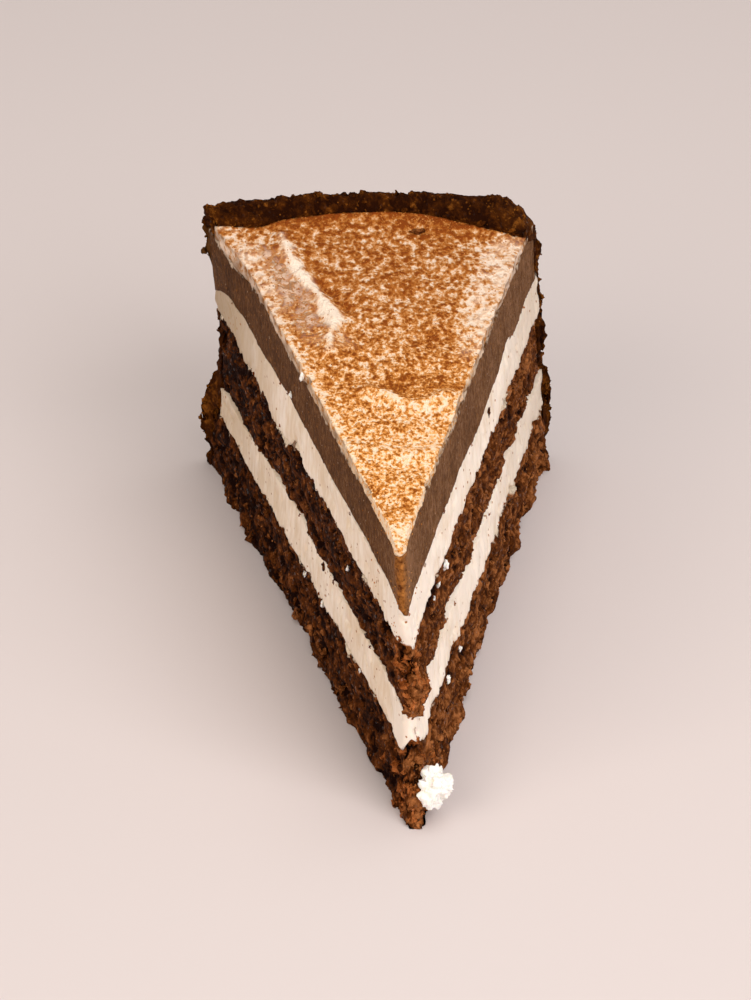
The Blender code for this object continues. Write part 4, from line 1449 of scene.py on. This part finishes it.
def scatter_tree():
    """Points on faces, a crumpled ball on each, real mesh at the end; the tree and its inputs."""
    tree = bpy.data.node_groups.new("scattered_bits", "GeometryNodeTree")
    face = tree.interface
    face.new_socket("Geometry", in_out="OUTPUT", socket_type="NodeSocketGeometry")
    face.new_socket("Geometry", in_out="INPUT", socket_type="NodeSocketGeometry")
    sockets = {}
    for title, kind in SCATTER_INPUTS:
        sockets[title] = face.new_socket(title, in_out="INPUT", socket_type="NodeSocket" + kind).identifier

    def add(kind, inputs, **options):
        """Outputs of a new node in this tree."""
        return add_node(tree, kind, inputs, **options).outputs

    def scaled(vector, factor):
        """Vector made longer or shorter by a factor."""
        return add("ShaderNodeVectorMath", {0: vector, "Scale": factor}, operation="SCALE")[0]

    given = add("NodeGroupInput", {})
    share = add("GeometryNodeInputNamedAttribute", {"Name": "bits"}, data_type="FLOAT")["Attribute"]
    density = add("ShaderNodeMath", {0: given["Per square metre"], 1: share}, operation="MULTIPLY")[0]
    dropped = add("GeometryNodeDistributePointsOnFaces", {
        "Mesh": given["Geometry"], "Density": density, "Seed": given["Seed"]})
    settled = add("GeometryNodeSetPosition", {
        "Geometry": dropped["Points"], "Offset": scaled(dropped["Normal"], given["Sunk"])})[0]

    ball = add("GeometryNodeMeshIcoSphere", {"Radius": 0.5, "Subdivisions": given["Ball steps"]})["Mesh"]
    size_range = {2: given["Smallest"], 3: given["Largest"], "Seed": given["Seed"]}
    size = add("FunctionNodeRandomValue", size_range, data_type="FLOAT")[1]
    stretch = add("FunctionNodeRandomValue", {0: STRETCH[0], 1: STRETCH[1]}, data_type="FLOAT_VECTOR")[0]
    turn = add("FunctionNodeRandomValue", {1: (math.tau,) * 3}, data_type="FLOAT_VECTOR")[0]
    placed = add("GeometryNodeInstanceOnPoints", {
        "Points": settled, "Instance": ball, "Rotation": turn, "Scale": scaled(stretch, size)})[0]
    shade = add("FunctionNodeRandomValue", {2: SHADES[0], 3: SHADES[1]}, data_type="FLOAT")[1]
    shaded = add("GeometryNodeStoreNamedAttribute", {
        "Geometry": placed, "Name": "relief", "Value": shade}, data_type="FLOAT", domain="INSTANCE")[0]
    real = add("GeometryNodeRealizeInstances", {0: shaded})[0]

    ripples = add("ShaderNodeMath", {0: RIPPLES_IN_BIT, 1: given["Largest"]}, operation="DIVIDE")[0]
    ripple = add("ShaderNodeTexNoise", {"Scale": ripples, "Detail": 2.0})["Color"]
    centred = add("ShaderNodeVectorMath", {0: ripple, 1: (0.5,) * 3}, operation="SUBTRACT")[0]
    strength = add("ShaderNodeMath", {0: given["Largest"], 1: CRUMPLE}, operation="MULTIPLY")[0]
    crumpled = add("GeometryNodeSetPosition", {"Geometry": real, "Offset": scaled(centred, strength)})[0]
    dressed = add("GeometryNodeSetMaterial", {"Geometry": crumpled, "Material": given["Finish"]})[0]
    add("NodeGroupOutput", {0: dressed})
    return tree, sockets


SCATTER, SCATTER_SOCKETS = scatter_tree()
print("nodes in the scatter tree:", len(SCATTER.nodes))

# %% [markdown]
# The tree runs as a modifier on the piece that the bits lie on. Its result is copied into a mesh
# of its own and the modifier goes away again, so that the bits are plain mesh like all the rest.
# A painted share says where they fall: helpers below tell the cut faces and read painted values.

# %% Scatter bits on a piece
CAP_TILT = 0.75
CUTS_END = 124 * MM


def scattered(name, host, share, per_square_mm, sizes, ball_steps, seed, finish, sunk=0.15):
    """Bits scattered over a piece where share says, as one mesh of their own."""
    paint(host.data, "bits", share)
    modifier = host.modifiers.new("bits", "NODES")
    modifier.node_group = SCATTER
    wanted = {
        "Per square metre": per_square_mm / MM ** 2, "Smallest": sizes[0], "Largest": sizes[1],
        "Sunk": -sunk * sizes[1], "Ball steps": ball_steps, "Seed": seed, "Finish": finish}
    for title, value in wanted.items():
        modifier[SCATTER_SOCKETS[title]] = value
    mesh = bpy.data.meshes.new_from_object(host.evaluated_get(bpy.context.evaluated_depsgraph_get()))
    host.modifiers.remove(modifier)
    host.data.attributes.remove(host.data.attributes["bits"])
    mesh.name = name
    return hand_over(new_piece(name, mesh), [])


def shown_points(piece):
    """Places of a piece's points, counted from the middle of the cake, and their normals."""
    vertices = piece.data.vertices
    return read(vertices, "co", 3) - np.array((*MIDDLE, 0.0)), read(vertices, "normal", 3)


def values_on(piece, title):
    """Values that a piece carries under a title."""
    return read(piece.data.attributes[title].data, "value", 1)[:, 0]


def cut_share(piece):
    """One on the cut faces and the nose of a layer, zero on its caps and its round side."""
    places, normals = shown_points(piece)
    on_cuts = (np.abs(normals[:, 2]) < CAP_TILT) & (np.hypot(places[:, 0], places[:, 1]) < CUTS_END)
    return on_cuts.astype(float)


print("share of the lower sponge's points on its cuts:", cut_share(sponge_bottom).mean().round(2))

# %% [markdown]
# A cut sponge sheds grit and crumbs over the whole cut, and bigger torn clods at the tip and at the
# foot, where the knife pressed it on the plate. Small crumbs could be bump alone, but then the
# contour of the cut would be smooth. The air holes are kept free of crumbs.

# %% Crumbs on the sponges
GRIT, CRUMBS, TIP_CLODS, FOOT_CLODS = (
    (smallest * MM, largest * MM) for smallest, largest in ((0.22, 0.5), (0.7, 1.8), (0.8, 2.1), (1.2, 2.6)))

for host, title, number in ((sponge_bottom, "bottom", 1), (sponge_middle, "middle", 2)):
    places = shown_points(host)[0]
    on_cuts = cut_share(host) * ease(0.5, 0.2, hole_depth(places) / MM)
    near_tip = on_cuts * ease(17 * MM, 7 * MM, places[:, 1])
    scattered(f"grit_{title}", host, on_cuts, 0.30, GRIT, 1, number, sponge_dark)
    scattered(f"crumbs_{title}", host, on_cuts, 0.10, CRUMBS, 2, number + 10, sponge_dark, 0.3)
    scattered(
        f"tip_clods_{title}", host, near_tip, 0.20, TIP_CLODS, 3, number + 40, torn_crumb, 0.3)

foot_places = shown_points(sponge_bottom)[0]
at_foot = ease(5 * MM, 2 * MM, foot_places[:, 2]) * ease(20 * MM, 35 * MM, foot_places[:, 1])
scattered(
    "foot_clods", sponge_bottom, cut_share(sponge_bottom) * at_foot, 0.07, FOOT_CLODS, 3, 61, sponge_dark,
    0.25)

# %% [markdown]
# The knife drags crumbs from the sponge onto the creams, and they stay mostly along the seams. The
# value painted on the edges of each cream says where. They could be set one by one as the bits
# are, but there are hundreds.

# %% Crumbs dragged on the edges of the creams
EDGE_CRUMBS = (0.3 * MM, 0.8 * MM)

for host, title, number in ((cream_lower, "lower", 71), (cream_upper, "upper", 72)):
    on_edges = values_on(host, "edge") * cut_share(host)
    scattered(
        f"edge_crumbs_{title}", host, on_edges, 0.16, EDGE_CRUMBS, 2, number, torn_crumb, 0.2)

# %% [markdown]
# Cocoa falls from the top while the slice is cut. It sticks to the upper cream and the mousse near
# the tip, mostly on the left, in drifts. It could be drawn in the finish, but real grains also cast
# their small shadows.

# %% Cocoa that fell near the tip
FALLEN_GRAINS = (0.15 * MM, 0.45 * MM)
DRIFT = 5 * MM

for host, title, number in ((cream_upper, "upper", 81), (mousse, "mousse", 82)):
    fallen_places = shown_points(host)[0]
    on_left = ease(3 * MM, -1 * MM, fallen_places[:, 0])
    near = cut_share(host) * ease(50 * MM, 10 * MM, fallen_places[:, 1]) * blend(0.15, 1.0, on_left)
    in_drifts = ease(-0.2, 0.6, grain(fallen_places, DRIFT, number))
    scattered(
        f"fallen_cocoa_{title}", host, near * in_drifts, 0.30, FALLEN_GRAINS, 1, number, cocoa_powder,
        0.1)

# %% [markdown]
# The coat's wall closes the round side, and loose crumbs in two sizes make it look pressed on by
# hand. A rougher wall could stand in for them, but loose crumbs also cast shadows on it. They lie
# on its outside and its crest alone, because its inner face is hidden.

# %% Crumbs on the coat and the rim
COAT_CRUMBS, COAT_GRIT = (0.7 * MM, 1.6 * MM), (0.3 * MM, 0.7 * MM)
OUTSIDE_FROM, CREST_FROM = 127.5 * MM, 55.8 * MM

coat_places = shown_points(crumb_coat)[0]
outside = (np.hypot(coat_places[:, 0], coat_places[:, 1]) > OUTSIDE_FROM) | (coat_places[:, 2] > CREST_FROM)
scattered("coat_crumbs", crumb_coat, outside, 0.12, COAT_CRUMBS, 2, 21, crumb_dark, 0.3)
scattered("coat_grit", crumb_coat, outside, 0.45, COAT_GRIT, 1, 22, crumb_dark)

# %% [markdown]
# Sifted cocoa is a powder whose larger grains stand up. Grains are scattered as thick as the cocoa
# that is painted on the top, so the bare folds stay clean. Bump would give the same tone, but not
# the rough contour of the far edge.

# %% Cocoa grains on the cream top
COCOA_GRAINS = (0.14 * MM, 0.42 * MM)
LEAST_COCOA = 0.05
FACES_UP, TOP_LEVEL = 0.5, 54 * MM

top_places, top_normals = shown_points(cream_top)
lies_on_top = (top_normals[:, 2] > FACES_UP) & (top_places[:, 2] > TOP_LEVEL)
cocoa_share = lies_on_top * np.clip(values_on(cream_top, "dust"), LEAST_COCOA, 1.0)
scattered(
    "cocoa_dust", cream_top, cocoa_share, 2.0, COCOA_GRAINS, 1, 31, cocoa_powder, 0.1)
